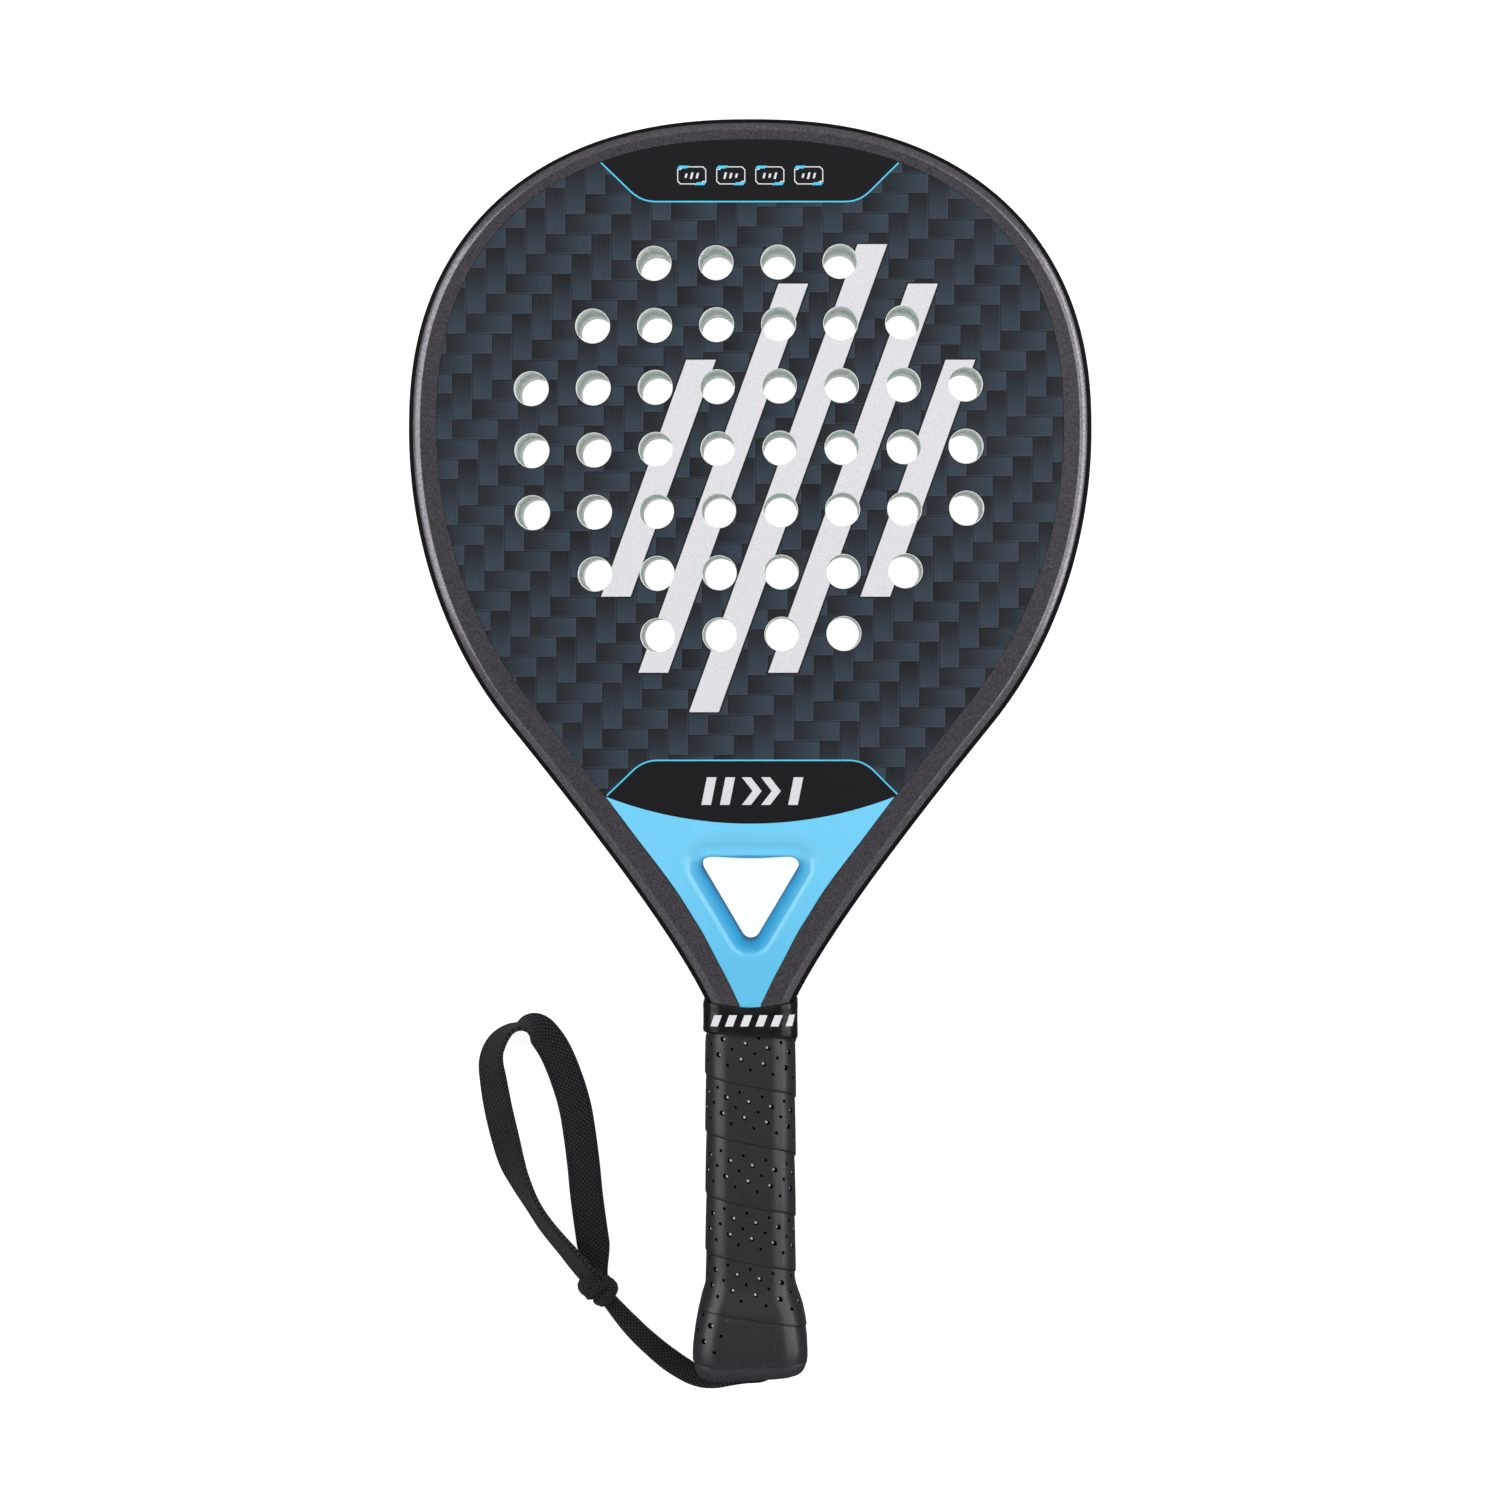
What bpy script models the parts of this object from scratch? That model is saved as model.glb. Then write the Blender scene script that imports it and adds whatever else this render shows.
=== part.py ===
"""Padel racket: a hollow hoop round a perforated foam core, a throat yoke, a wrapped handle and a wrist lace.

The racket lies flat on its back face. +X is its width, +Y points from the butt to the crown and +Z leaves
the front face. The origin is under the middle of the racket, on the surface it lies on. Numbers are in
millimetres, with Y counted from the butt end; place() turns them into metres in that frame.
"""

import math

import bmesh
import bpy
from mathutils import Vector
from mathutils.geometry import interpolate_bezier

# ---------------------------------------------------------------- driving dimensions, in millimetres
LENGTH = 450.0
THICKNESS = 36.0
MID_Z = THICKNESS / 2
GAP = 0.3  # kept between pieces that touch

# Outline of the head: a squarish crown over a lower ellipse, then a throat that narrows to the collar.
HALF_WIDTH = 121.5
WIDEST_Y = 339.5
CROWN_POWER = 2.3
LOWER_REACH = 148.5
LOWER_ANGLE = math.radians(44.3)
THROAT_END = (16.3, 136.8)
THROAT_HANDLES = (20.0, 35.0)
THROAT_END_LEAN = 0.5  # how far the throat's edge moves sideways per millimetre of length at its end

BEND_HANDLE = 2.5  # of the bend from the throat into the leg
CROWN_STEPS, LOWER_STEPS, THROAT_STEPS, BEND_STEPS = 15, 9, 12, 5

# Handle, as half widths and half thicknesses.
LEG_HALF = (13.6, 11.6)
LEG_TOP_Y = 131.0
LEG_END_Y = 12.5
LEG_STATIONS = (123.0, 70.0, LEG_END_Y)
LEG_WIDTH = 10.3
FILLER_HALF_WIDTH = 3.0
TAPE_TOP_Y = 130.0
COLLAR_Y = (123.9, 135.7)
COLLAR_HALF = (16.95, 15.1)
YOKE_END_Y = COLLAR_Y[1] - 1  # just under the collar's upper edge

# The hoop's band and thickness, each as (Y, value) stops.
BAND_STOPS = (
    (LEG_TOP_Y, LEG_WIDTH),
    (133.2, 10.9),
    (136.8, 10.4),
    (143.0, 10.5),
    (158.0, 11.4),
    (169.0, 11.8),
    (190.0, 11.3),
    (235.0, 11.3),
    (340.0, 10.2),
    (LENGTH, 7.8),
)
FULL_THICKNESS_Y = 205.0
HALF_THICKNESS_STOPS = ((LEG_TOP_Y, LEG_HALF[1]), (137.5, 14.5), (FULL_THICKNESS_Y, MID_Z))
WALL = 1.8
EDGE_RADIUS = 4.0
EDGE_STEPS = 3
LEG_SOCKET = (LEG_HALF[0] + GAP, LEG_HALF[1] + GAP, EDGE_RADIUS + GAP)  # clears the two legs side by side

# Faces and core, and the row of holes through them.
SKIN = 1.0
FACE_EDGE_RADIUS = 142.0  # the faces end on this arc above the throat opening
FACE_EDGE_LOW_Y = 199.5
HOLE_RADIUS = 6.2
HOLE_PITCH = 22.0
HOLE_ROWS = (4, 6, 8, 8, 8, 6, 4)
HOLE_SIDES = 12
GRID_CENTRE = (-0.4, 332.55)
GRID_TURN = math.radians(0.6)

# Throat opening: a triangle with rounded corners, and the dish cut round it on both faces.
OPENING_TOP_Y = 187.5
OPENING_TIP_Y = 153.9
OPENING_HALF = 20.0
OPENING_CORNER = 3.4
OPENING_CORNER_STEPS = 5
DISH_DEPTH = 6.0
DISH_GROWTH = 5.5

# The wedge that the yoke's thickness is cut to, in stations along Y.
WEDGE_HALF_WIDTH = 70.0
WEDGE_STEP = 5.0
WEDGE_STATIONS = 19
CUT_MARGIN = 1.0  # how far a cutter stands proud of what it cuts

# Sections of the handle's pieces: Y, half width, half thickness and sometimes a corner radius of their own.
GRIP_OUTER = (
    (4.3, 20.2, 17.1),
    (7.0, 20.55, 17.4),
    (11.0, 20.6, 17.5),
    (17.0, 19.8, 16.9),
    (24.0, 18.4, 15.8),
    (31.0, 17.6, 15.1),
    (32.6, 16.2, 13.9),
    (80.0, 16.25, 13.95),
    (123.0, 16.35, 14.1),
    (123.6, 15.6, 13.6),
    (TAPE_TOP_Y, 15.6, 13.6),
)
GRIP_INNER = (
    (TAPE_TOP_Y, *LEG_SOCKET),
    (32.3, *LEG_SOCKET),
    (31.6, 15.3, 13.4),
    (24.0, 16.3, 14.0),
    (11.0, 18.5, 15.7),
    (4.3, 18.2, 15.4),
)
FINISH_OUTER = ((124.5, 16.12, 14.12), (130.6, 16.12, 14.12))
FINISH_INNER = ((130.6, 15.9, 13.9), (124.5, 15.9, 13.9))
COLLAR_ROLL = (0.3, 0.8, 1.2)  # of its edges: depth, length below and length above
COLLAR_INNER = ((COLLAR_Y[1], 16.42, 14.55, 5.0), (COLLAR_Y[0], 16.42, 14.45))
CAP_INNER = ((3.0, *LEG_SOCKET), (31.0, *LEG_SOCKET))
CAP_OUTER = (
    (31.0, 14.9, 13.0),
    (24.0, 15.9, 13.6),
    (11.0, 18.15, 15.35),
    (4.0, 17.85, 15.05),
    (4.0, 19.7, 16.6),
    (1.6, 18.9, 15.9),
    (0.4, 17.6, 14.7),
    (0.0, 16.4, 13.7),
)

# Wrist lace.
LACE_WIDTH = 12.0
LACE_THICKNESS = 2.0
LACE_SECTION = ((1, 0.35), (0.85, 1), (-0.85, 1), (-1, 0.35))  # upper half, in half widths and thicknesses
STEM_DIAMETER = 6.0
LACE_HOLE = (6.0, 10.8)  # X and Z of the hole in the butt cap
LACE_HOLE_RADIUS = 4.0
LACE_HOLE_REACH = (-3.0, 6.0)  # Y ends of its cutter
LACE_HOLE_SIDES = 16


# ---------------------------------------------------------------- frame, collections and materials
def place(x, y, z):
    """A point of the racket, in metres in the part's frame."""
    return Vector((x, y - LENGTH / 2, z)) * 0.001


def collection(name):
    made = bpy.data.collections.new(name)
    bpy.context.scene.collection.children.link(made)
    return made


def linear(value):
    value /= 255
    return value / 12.92 if value <= 0.04045 else ((value + 0.055) / 1.055) ** 2.4


def material(name, colour, roughness, metallic=0.0):
    made = bpy.data.materials.new(name)
    made.use_nodes = True
    shader = made.node_tree.nodes["Principled BSDF"]
    shader.inputs["Base Color"].default_value = (*[linear(c) for c in colour], 1)
    shader.inputs["Roughness"].default_value = roughness
    shader.inputs["Metallic"].default_value = metallic
    made.diffuse_color = shader.inputs["Base Color"].default_value
    return made


def add_object(name, mesh, look, home):
    made = bpy.data.objects.new(name, mesh)
    home.objects.link(made)
    mesh.materials.clear()
    mesh.materials.append(look)
    mesh.shade_smooth()
    mesh.set_sharp_from_angle(angle=math.radians(35))
    return made


def hide_cutter(cutter):
    cutter.hide_render = True
    cutter.display_type = "WIRE"
    return cutter


def boolean(target, cutter, operation):
    cut = target.modifiers.new(cutter.name, "BOOLEAN")
    cut.object = cutter
    cut.operation = operation
    cut.solver = "EXACT"


# ---------------------------------------------------------------- shape builders
def loft(name, rings, look, home, cyclic=False):
    """A skin over rings of equal length: capped at both ends, or joined back to the first ring."""
    mesh = bpy.data.meshes.new(name)
    shape = bmesh.new()
    rows = [[shape.verts.new(place(*point)) for point in ring] for ring in rings]
    pairs = list(zip(rows, rows[1:])) + ([(rows[-1], rows[0])] if cyclic else [])
    for low, high in pairs:
        for i in range(len(low)):
            j = (i + 1) % len(low)
            shape.faces.new((low[i], low[j], high[j], high[i]))
    if not cyclic:
        shape.faces.new(rows[0][::-1])
        shape.faces.new(rows[-1])
    bmesh.ops.recalc_face_normals(shape, faces=shape.faces)
    shape.to_mesh(mesh)
    shape.free()
    return add_object(name, mesh, look, home)


def plate(name, outlines, low_z, high_z, look, home):
    """A flat piece: the first outline with the others cut out of it, between two heights."""
    curve = bpy.data.curves.new(name, "CURVE")
    curve.dimensions = "2D"
    curve.fill_mode = "BOTH"
    curve.extrude = (high_z - low_z) / 2 * 0.001
    for outline in outlines:
        spline = curve.splines.new("POLY")
        spline.points.add(len(outline) - 1)
        spline.use_cyclic_u = True
        for point, (x, y) in zip(spline.points, outline):
            point.co = (*place(x, y, 0), 1)
    guide = bpy.data.objects.new(name + "_outline", curve)
    home.objects.link(guide)
    guide.location.z = (low_z + high_z) / 2 * 0.001
    return solid_from_curve(name, guide, look, home)


def solid_from_curve(name, guide, look, home):
    """Turns a curve object into a closed mesh object with its caps welded, and removes the curve."""
    bpy.context.view_layer.update()
    evaluated = guide.evaluated_get(bpy.context.evaluated_depsgraph_get())
    mesh = bpy.data.meshes.new_from_object(evaluated)
    mesh.name = name
    shape = bmesh.new()
    shape.from_mesh(mesh)
    bmesh.ops.remove_doubles(shape, verts=shape.verts, dist=0.00001)
    bmesh.ops.recalc_face_normals(shape, faces=shape.faces)
    shape.to_mesh(mesh)
    shape.free()
    made = add_object(name, mesh, look, home)
    made.matrix_world = guide.matrix_world
    bpy.data.objects.remove(guide)
    return made


def between(y, stops):
    """The value at y, eased from each (Y, value) stop to the next."""
    if y <= stops[0][0]:
        return stops[0][1]
    for (y0, v0), (y1, v1) in zip(stops, stops[1:]):
        if y <= y1:
            t = (y - y0) / (y1 - y0)
            return v0 + (v1 - v0) * t * t * (3 - 2 * t)
    return stops[-1][1]


def smooth_line(points, steps):
    """A Catmull-Rom curve through the points, with that many steps between each two."""
    padded = [points[0], *points, points[-1]]
    line = []
    for near in zip(padded, padded[1:], padded[2:], padded[3:]):
        for i in range(steps):
            t = i / steps
            weights = (-t + 2 * t**2 - t**3, 2 - 5 * t**2 + 3 * t**3, t + 4 * t**2 - 3 * t**3, t**3 - t**2)
            line.append(tuple(sum(w * v / 2 for w, v in zip(weights, values)) for values in zip(*near)))
    return line + [points[-1]]


def handle_ring(y, half_width, half_thickness, radius=7.0, steps=4):
    """One section of the handle: a rectangle with round corners, square to Y."""
    ring = []
    for corner, (sx, sz) in enumerate(((1, 1), (-1, 1), (-1, -1), (1, -1))):
        for i in range(steps + 1):
            angle = math.pi / 2 * (corner + i / steps)
            x = sx * (half_width - radius) + radius * math.cos(angle)
            z = sz * (half_thickness - radius) + radius * math.sin(angle)
            ring.append((x, y, MID_Z + z))
    return ring


# ---------------------------------------------------------------- outline of the hoop
def half_outline():
    """The hoop's outer edge on the +X side, from the crown down the throat to the end of the leg."""
    crown = LENGTH - WIDEST_Y
    points = []
    for i in range(CROWN_STEPS):
        angle = math.pi / 2 * i / CROWN_STEPS
        x = HALF_WIDTH * math.sin(angle) ** (2 / CROWN_POWER)
        points.append((x, WIDEST_Y + crown * math.cos(angle) ** (2 / CROWN_POWER)))
    for i in range(LOWER_STEPS):
        angle = LOWER_ANGLE * i / LOWER_STEPS
        points.append((HALF_WIDTH * math.cos(angle), WIDEST_Y - LOWER_REACH * math.sin(angle)))
    x, y = HALF_WIDTH * math.cos(LOWER_ANGLE), WIDEST_Y - LOWER_REACH * math.sin(LOWER_ANGLE)
    start, end = Vector((x, y, 0)), Vector((*THROAT_END, 0))
    down = Vector((-HALF_WIDTH * math.tan(LOWER_ANGLE), -LOWER_REACH, 0)).normalized()
    up = Vector((THROAT_END_LEAN, 1, 0)).normalized()
    handles = start + down * THROAT_HANDLES[0], end + up * THROAT_HANDLES[1]
    points += [(p.x, p.y) for p in interpolate_bezier(start, *handles, end, THROAT_STEPS)]
    leg_top = Vector((LEG_HALF[0], LEG_TOP_Y, 0))
    handles = end - up * BEND_HANDLE, leg_top + Vector((0, BEND_HANDLE, 0))
    points += [(p.x, p.y) for p in interpolate_bezier(end, *handles, leg_top, BEND_STEPS)[1:]]
    points += [(LEG_HALF[0], y) for y in LEG_STATIONS]
    return points


def inward(points, i):
    """The unit normal into the hoop at a point of the half outline."""
    if i == 0:
        return Vector((0, -1))
    before, after = Vector(points[i - 1]), Vector(points[min(i + 1, len(points) - 1)])
    along = (after - before).normalized()
    return Vector((along.y, -along.x))


def inner_edge(gap):
    """The hoop's inner edge on the +X side, moved inward by gap."""
    points = half_outline()
    edge = []
    for i, point in enumerate(points):
        moved = Vector(point) + inward(points, i) * (between(point[1], BAND_STOPS) + gap)
        edge.append((moved.x, moved.y))
    return edge


def mirrored(points):
    """The outline closed by its mirror image across the racket's centreline."""
    return points + [(-x, y) for x, y in reversed(points) if x > 0.001]


def arc_height(x, radius):
    """Y of the faces' lower edge, an arc that is lowest on the centreline."""
    centre_y = FACE_EDGE_LOW_Y + FACE_EDGE_RADIUS
    return centre_y - math.sqrt(radius**2 - x**2)


def edge_crossing(edge, radius):
    """Where the inner edge meets the arc at the faces' lower end, and the index of the next edge point."""
    for i, (high, low) in enumerate(zip(edge, edge[1:])):
        if low[1] < arc_height(min(low[0], radius), radius):
            a, b = 0.0, 1.0
            for _ in range(30):
                t = (a + b) / 2
                x, y = (start + (end - start) * t for start, end in zip(high, low))
                a, b = (t, b) if y > arc_height(x, radius) else (a, t)
            return (x, y), i + 1
    return edge[-1], len(edge)


def arc_points(from_x, radius, count=12):
    """The right half of the arc, from from_x to the centreline."""
    xs = [from_x * (1 - i / count) for i in range(1, count + 1)]
    return [(x, arc_height(x, radius)) for x in xs]


def face_outline():
    edge = inner_edge(GAP)
    crossing, cut = edge_crossing(edge, FACE_EDGE_RADIUS - GAP / 2)
    return mirrored(edge[:cut] + [crossing] + arc_points(crossing[0], FACE_EDGE_RADIUS - GAP / 2))


def yoke_outline():
    edge = inner_edge(GAP)
    crossing, cut = edge_crossing(edge, FACE_EDGE_RADIUS + GAP / 2)
    arc = arc_points(crossing[0], FACE_EDGE_RADIUS + GAP / 2)
    side = [p for p in edge[cut:] if p[1] > YOKE_END_Y]
    tail = (min(x for x, _ in side), YOKE_END_Y)
    return mirrored(arc[::-1] + [crossing] + side + [tail])


def hole_centres():
    """Centres of the holes: rows of even count, so that every row is symmetric about the grid's middle."""
    centres = []
    for row, count in enumerate(HOLE_ROWS):
        for column in range(count):
            x = (column - (count - 1) / 2) * HOLE_PITCH
            y = ((len(HOLE_ROWS) - 1) / 2 - row) * HOLE_PITCH
            turned_x = x * math.cos(GRID_TURN) - y * math.sin(GRID_TURN)
            turned_y = x * math.sin(GRID_TURN) + y * math.cos(GRID_TURN)
            centres.append((GRID_CENTRE[0] + turned_x, GRID_CENTRE[1] + turned_y))
    return centres


def circle(centre, radius, sides):
    turns = [2 * math.pi * i / sides for i in range(sides)]
    return [(centre[0] + radius * math.cos(a), centre[1] + radius * math.sin(a)) for a in turns]


# ---------------------------------------------------------------- hoop, core and faces
def hoop_sections(inset):
    """Sections of the hoop's tube all the way round, from one leg end to the other, drawn in by inset."""
    points = half_outline()
    sections = []
    for i, point in enumerate(points):
        normal = inward(points, i)
        band, half = between(point[1], BAND_STOPS), between(point[1], HALF_THICKNESS_STOPS)
        radius = EDGE_RADIUS - inset
        top = half - inset
        profile = [(band - inset, -top), (band - inset, top)]
        for quarter, centre_z in ((1, top - radius), (2, radius - top)):
            for step in range(EDGE_STEPS + 1):
                angle = math.pi / 2 * (quarter + step / EDGE_STEPS)
                profile.append((EDGE_RADIUS + radius * math.cos(angle), centre_z + radius * math.sin(angle)))
        sections.append([(point[0] + normal.x * u, point[1] + normal.y * u, MID_Z + z) for u, z in profile])
    other = [[(-x, y, z) for x, y, z in section] for section in sections[1:]]
    return sections[::-1] + other


def build_hoop(look, home):
    outside = hoop_sections(0)
    inside = hoop_sections(WALL)
    loft("frame_tube", outside + inside[::-1], look, home, cyclic=True)


def build_core_and_faces(looks, home):
    outline = face_outline()
    holes = [circle(centre, HOLE_RADIUS, HOLE_SIDES) for centre in hole_centres()]
    layers = {
        "back_face": (0, SKIN, looks["face"]),
        "foam_core": (SKIN + GAP, THICKNESS - SKIN - GAP, looks["foam"]),
        "front_face": (THICKNESS - SKIN, THICKNESS, looks["face"]),
    }
    for name, (low, high, look) in layers.items():
        plate(name, [outline, *holes], low, high, look, home)


# ---------------------------------------------------------------- throat yoke
def round_triangle(growth, z):
    """The throat opening's outline at a height, moved outward by growth."""
    slope = math.atan2(OPENING_HALF, OPENING_TOP_Y - OPENING_TIP_Y)
    radius = OPENING_CORNER + growth
    side = OPENING_CORNER * math.tan(math.pi / 4 + slope / 2)
    tip_y = OPENING_TIP_Y + OPENING_CORNER / math.sin(slope)
    centre_y = OPENING_TOP_Y - OPENING_CORNER
    corners = (
        ((OPENING_HALF - side, centre_y), -slope, math.pi / 2),
        ((side - OPENING_HALF, centre_y), math.pi / 2, math.pi + slope),
        ((0, tip_y), math.pi + slope, 2 * math.pi - slope),
    )
    ring = []
    for (x, y), first, last in corners:
        for i in range(OPENING_CORNER_STEPS + 1):
            angle = first + (last - first) * i / OPENING_CORNER_STEPS
            ring.append((x + radius * math.cos(angle), y + radius * math.sin(angle), z))
    return ring


def build_yoke(look, home, tools):
    yoke = plate("throat_yoke", [yoke_outline()], 0, THICKNESS, look, home)
    corners = ((1, -1), (1, 1), (-1, 1), (-1, -1))
    rings = []
    for i in range(WEDGE_STATIONS):
        y = COLLAR_Y[0] + WEDGE_STEP * i
        half = between(y, HALF_THICKNESS_STOPS) + (CUT_MARGIN if y > FULL_THICKNESS_Y else 0)
        rings.append([(WEDGE_HALF_WIDTH * sx, y, MID_Z + half * sz) for sx, sz in corners])
    wedge = hide_cutter(loft("throat_side_profile", rings, look, tools))
    levels = ((DISH_GROWTH, -CUT_MARGIN), (DISH_GROWTH, 0), (0, DISH_DEPTH), (0, THICKNESS - DISH_DEPTH))
    levels += ((DISH_GROWTH, THICKNESS), (DISH_GROWTH, THICKNESS + CUT_MARGIN))
    opening = hide_cutter(loft("throat_opening", [round_triangle(*level) for level in levels], look, tools))
    boolean(yoke, wedge, "INTERSECT")
    boolean(yoke, opening, "DIFFERENCE")


# ---------------------------------------------------------------- handle
def build_filler(look, home):
    half = LEG_HALF[1]
    x, top = FILLER_HALF_WIDTH, YOKE_END_Y - GAP
    outline = [(x, LEG_END_Y), (x, top), (-x, top), (-x, LEG_END_Y)]
    plate("handle_filler", [outline], MID_Z - half, MID_Z + half, look, home)


def build_grip(look, home):
    """The tape's sleeve: it flares over the butt cap and thins under the collar."""
    rings = [handle_ring(*station) for station in GRIP_OUTER + GRIP_INNER]
    loft("grip_tape", rings, look, home, cyclic=True)


def build_finishing_tape(look, home):
    rings = [handle_ring(*station) for station in FINISH_OUTER + FINISH_INNER]
    loft("finishing_tape", rings, look, home, cyclic=True)


def build_collar(look, home):
    low, high = COLLAR_Y
    x, z = COLLAR_HALF
    roll, below, above = COLLAR_ROLL
    outer = ((low, x - roll, z - roll), (low + below, x, z), (high - above, x, z), (high, x - roll, z - roll))
    rings = [handle_ring(*station) for station in outer + COLLAR_INNER]
    loft("grip_collar", rings, look, home, cyclic=True)


def build_butt_cap(look, home, tools):
    """A cup on the ends of the legs, with a hollow behind its end wall for the lace's knot."""
    cap = loft("butt_cap", [handle_ring(*station) for station in CAP_INNER + CAP_OUTER], look, home)
    outline = circle(LACE_HOLE, LACE_HOLE_RADIUS, LACE_HOLE_SIDES)
    rings = [[(x, y, z) for x, z in outline] for y in LACE_HOLE_REACH]
    boolean(cap, hide_cutter(loft("lace_hole", rings, look, tools)), "DIFFERENCE")


# ---------------------------------------------------------------- wrist lace
# Hand-chosen routes. A loop point is X, Y, Z and the tilt of the flat lace out of the horizontal, in degrees.
STEM_ROUTE = (
    (6.0, 5.2, 10.8),
    (6.0, -1.5, 10.6),
    (3.5, -5.6, 8.6),
    (-3.5, -6.4, 5.2),
    (-11.0, -5.9, 3.6),
    (-20.0, -3.6, 3.3),
    (-29.6, 2.6, 3.3),
    (-38.5, 10.0, 3.3),
    (-45.0, 16.6, 3.5),
    (-50.2, 23.0, 4.0),
)
LOOP_ROUTE = (
    (-56.3, 37.6, 3.4, 10),
    (-57.4, 44.0, 2.5, 8),
    (-58.5, 51.3, 2.2, 8),
    (-60.0, 62.4, 2.1, 8),
    (-61.1, 73.5, 2.1, 8),
    (-62.5, 84.6, 2.2, 9),
    (-64.4, 95.7, 2.6, 11),
    (-67.8, 106.8, 3.2, 14),
    (-71.5, 115.6, 4.2, 17),
    (-75.4, 121.6, 5.4, 26),
    (-78.2, 124.2, 6.2, 42),
    (-81.2, 125.2, 7.0, 64),
    (-84.6, 124.6, 7.6, 86),
    (-88.0, 122.9, 7.4, 76),
    (-91.4, 119.6, 6.8, 60),
    (-93.6, 115.8, 6.4, 50),
    (-94.4, 110.9, 6.0, 40),
    (-93.7, 104.9, 5.6, 33),
    (-92.0, 94.8, 5.2, 29),
    (-89.6, 84.6, 5.2, 29),
    (-87.0, 75.4, 5.8, 36),
    (-83.8, 68.0, 6.6, 50),
    (-79.3, 59.7, 7.2, 61),
    (-74.0, 51.8, 7.6, 60),
    (-65.7, 42.1, 8.2, 56),
    (-61.4, 36.8, 8.1, 52),
)
KNOT_CENTRE = (-55.7, 29.6, 5.5)
KNOT_HALF = (5.4, 7.4, 5.0)
KNOT_LEAN = math.radians(42)
STOP_KNOT_CENTRE = (6.0, 8.6, 11.1)
STOP_KNOT_HALF = (5.0, 3.0, 4.4)


def build_tube(name, route, diameter, look, home):
    """A round cord along a smooth curve through the route's points."""
    curve = bpy.data.curves.new(name, "CURVE")
    curve.dimensions = "3D"
    curve.bevel_depth = diameter / 2 * 0.001
    curve.bevel_resolution = 2
    curve.use_fill_caps = True
    line = smooth_line(route, 2)
    spline = curve.splines.new("POLY")
    spline.points.add(len(line) - 1)
    for point, spot in zip(spline.points, line):
        point.co = (*place(*spot), 1)
    guide = bpy.data.objects.new(name + "_route", curve)
    home.objects.link(guide)
    return solid_from_curve(name, guide, look, home)


def build_flat_lace(name, route, look, home):
    """A flat lace along a smooth curve, turned out of the horizontal by each point's tilt."""
    line = smooth_line(route, 2)
    rings = []
    for i, (x, y, z, tilt) in enumerate(line):
        before, after = line[max(i - 1, 0)], line[min(i + 1, len(line) - 1)]
        along = Vector(after[:3]) - Vector(before[:3])
        level = Vector((along.y, -along.x, 0)).normalized()
        rise = level.cross(along.normalized())
        turn = math.radians(tilt)
        wide = level * math.cos(turn) - rise * math.sin(turn)
        thick = along.normalized().cross(wide)
        ring = []
        for u, v in LACE_SECTION + tuple((-u, -v) for u, v in LACE_SECTION):
            spot = Vector((x, y, z)) + wide * u * LACE_WIDTH / 2 + thick * v * LACE_THICKNESS / 2
            ring.append(tuple(spot))
        rings.append(ring)
    return loft(name, rings, look, home)


def build_knot(name, centre, half, lean, look, home):
    mesh = bpy.data.meshes.new(name)
    shape = bmesh.new()
    bmesh.ops.create_uvsphere(shape, u_segments=16, v_segments=10, radius=1)
    for vert in shape.verts:
        x, y, z = (c * h for c, h in zip(vert.co, half))
        turned = (x * math.cos(lean) - y * math.sin(lean), x * math.sin(lean) + y * math.cos(lean), z)
        vert.co = place(*(t + c for t, c in zip(turned, centre)))
    shape.to_mesh(mesh)
    shape.free()
    return add_object(name, mesh, look, home)


def build_lace(look, home):
    build_knot("lace_stop_knot", STOP_KNOT_CENTRE, STOP_KNOT_HALF, 0, look, home)
    build_tube("lace_stem", STEM_ROUTE, STEM_DIAMETER, look, home)
    build_knot("lace_knot", KNOT_CENTRE, KNOT_HALF, KNOT_LEAN, look, home)
    build_flat_lace("lace_loop", LOOP_ROUTE, look, home)


# ---------------------------------------------------------------- whole racket
def main():
    for old in list(bpy.data.objects):
        bpy.data.objects.remove(old)
    home, tools = collection("padel_racket"), collection("cutters")
    looks = {
        "frame": material("frame_paint", (72, 70, 76), 0.35, 0.6),
        "face": material("woven_face", (50, 56, 64), 0.4),
        "foam": material("core_foam", (175, 195, 185), 0.8),
        "yoke": material("yoke_paint", (107, 200, 240), 0.3),
        "tape": material("grip_tape", (58, 58, 62), 0.6),
        "rubber": material("collar_rubber", (28, 30, 34), 0.35),
        "cap": material("butt_cap", (30, 31, 34), 0.55),
        "filler": material("handle_foam", (205, 198, 180), 0.85),
        "finish": material("finishing_tape", (20, 21, 23), 0.4),
        "lace": material("lace_weave", (32, 32, 34), 0.9),
    }
    build_hoop(looks["frame"], home)
    build_core_and_faces(looks, home)
    build_yoke(looks["yoke"], home, tools)
    build_filler(looks["filler"], home)
    build_butt_cap(looks["cap"], home, tools)
    build_grip(looks["tape"], home)
    build_finishing_tape(looks["finish"], home)
    build_collar(looks["rubber"], home)
    build_lace(looks["lace"], home)


main()
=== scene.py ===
"""Looks of a padel racket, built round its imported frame.

The racket lies flat on its back face: +X is its width, +Y points from the butt to the crown and +Z leaves
the front face. Numbers are in millimetres with Y counted from the butt end; place() turns them into metres.
"""
import math

import bmesh
import bpy
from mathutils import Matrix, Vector
from mathutils.geometry import interpolate_bezier


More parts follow.
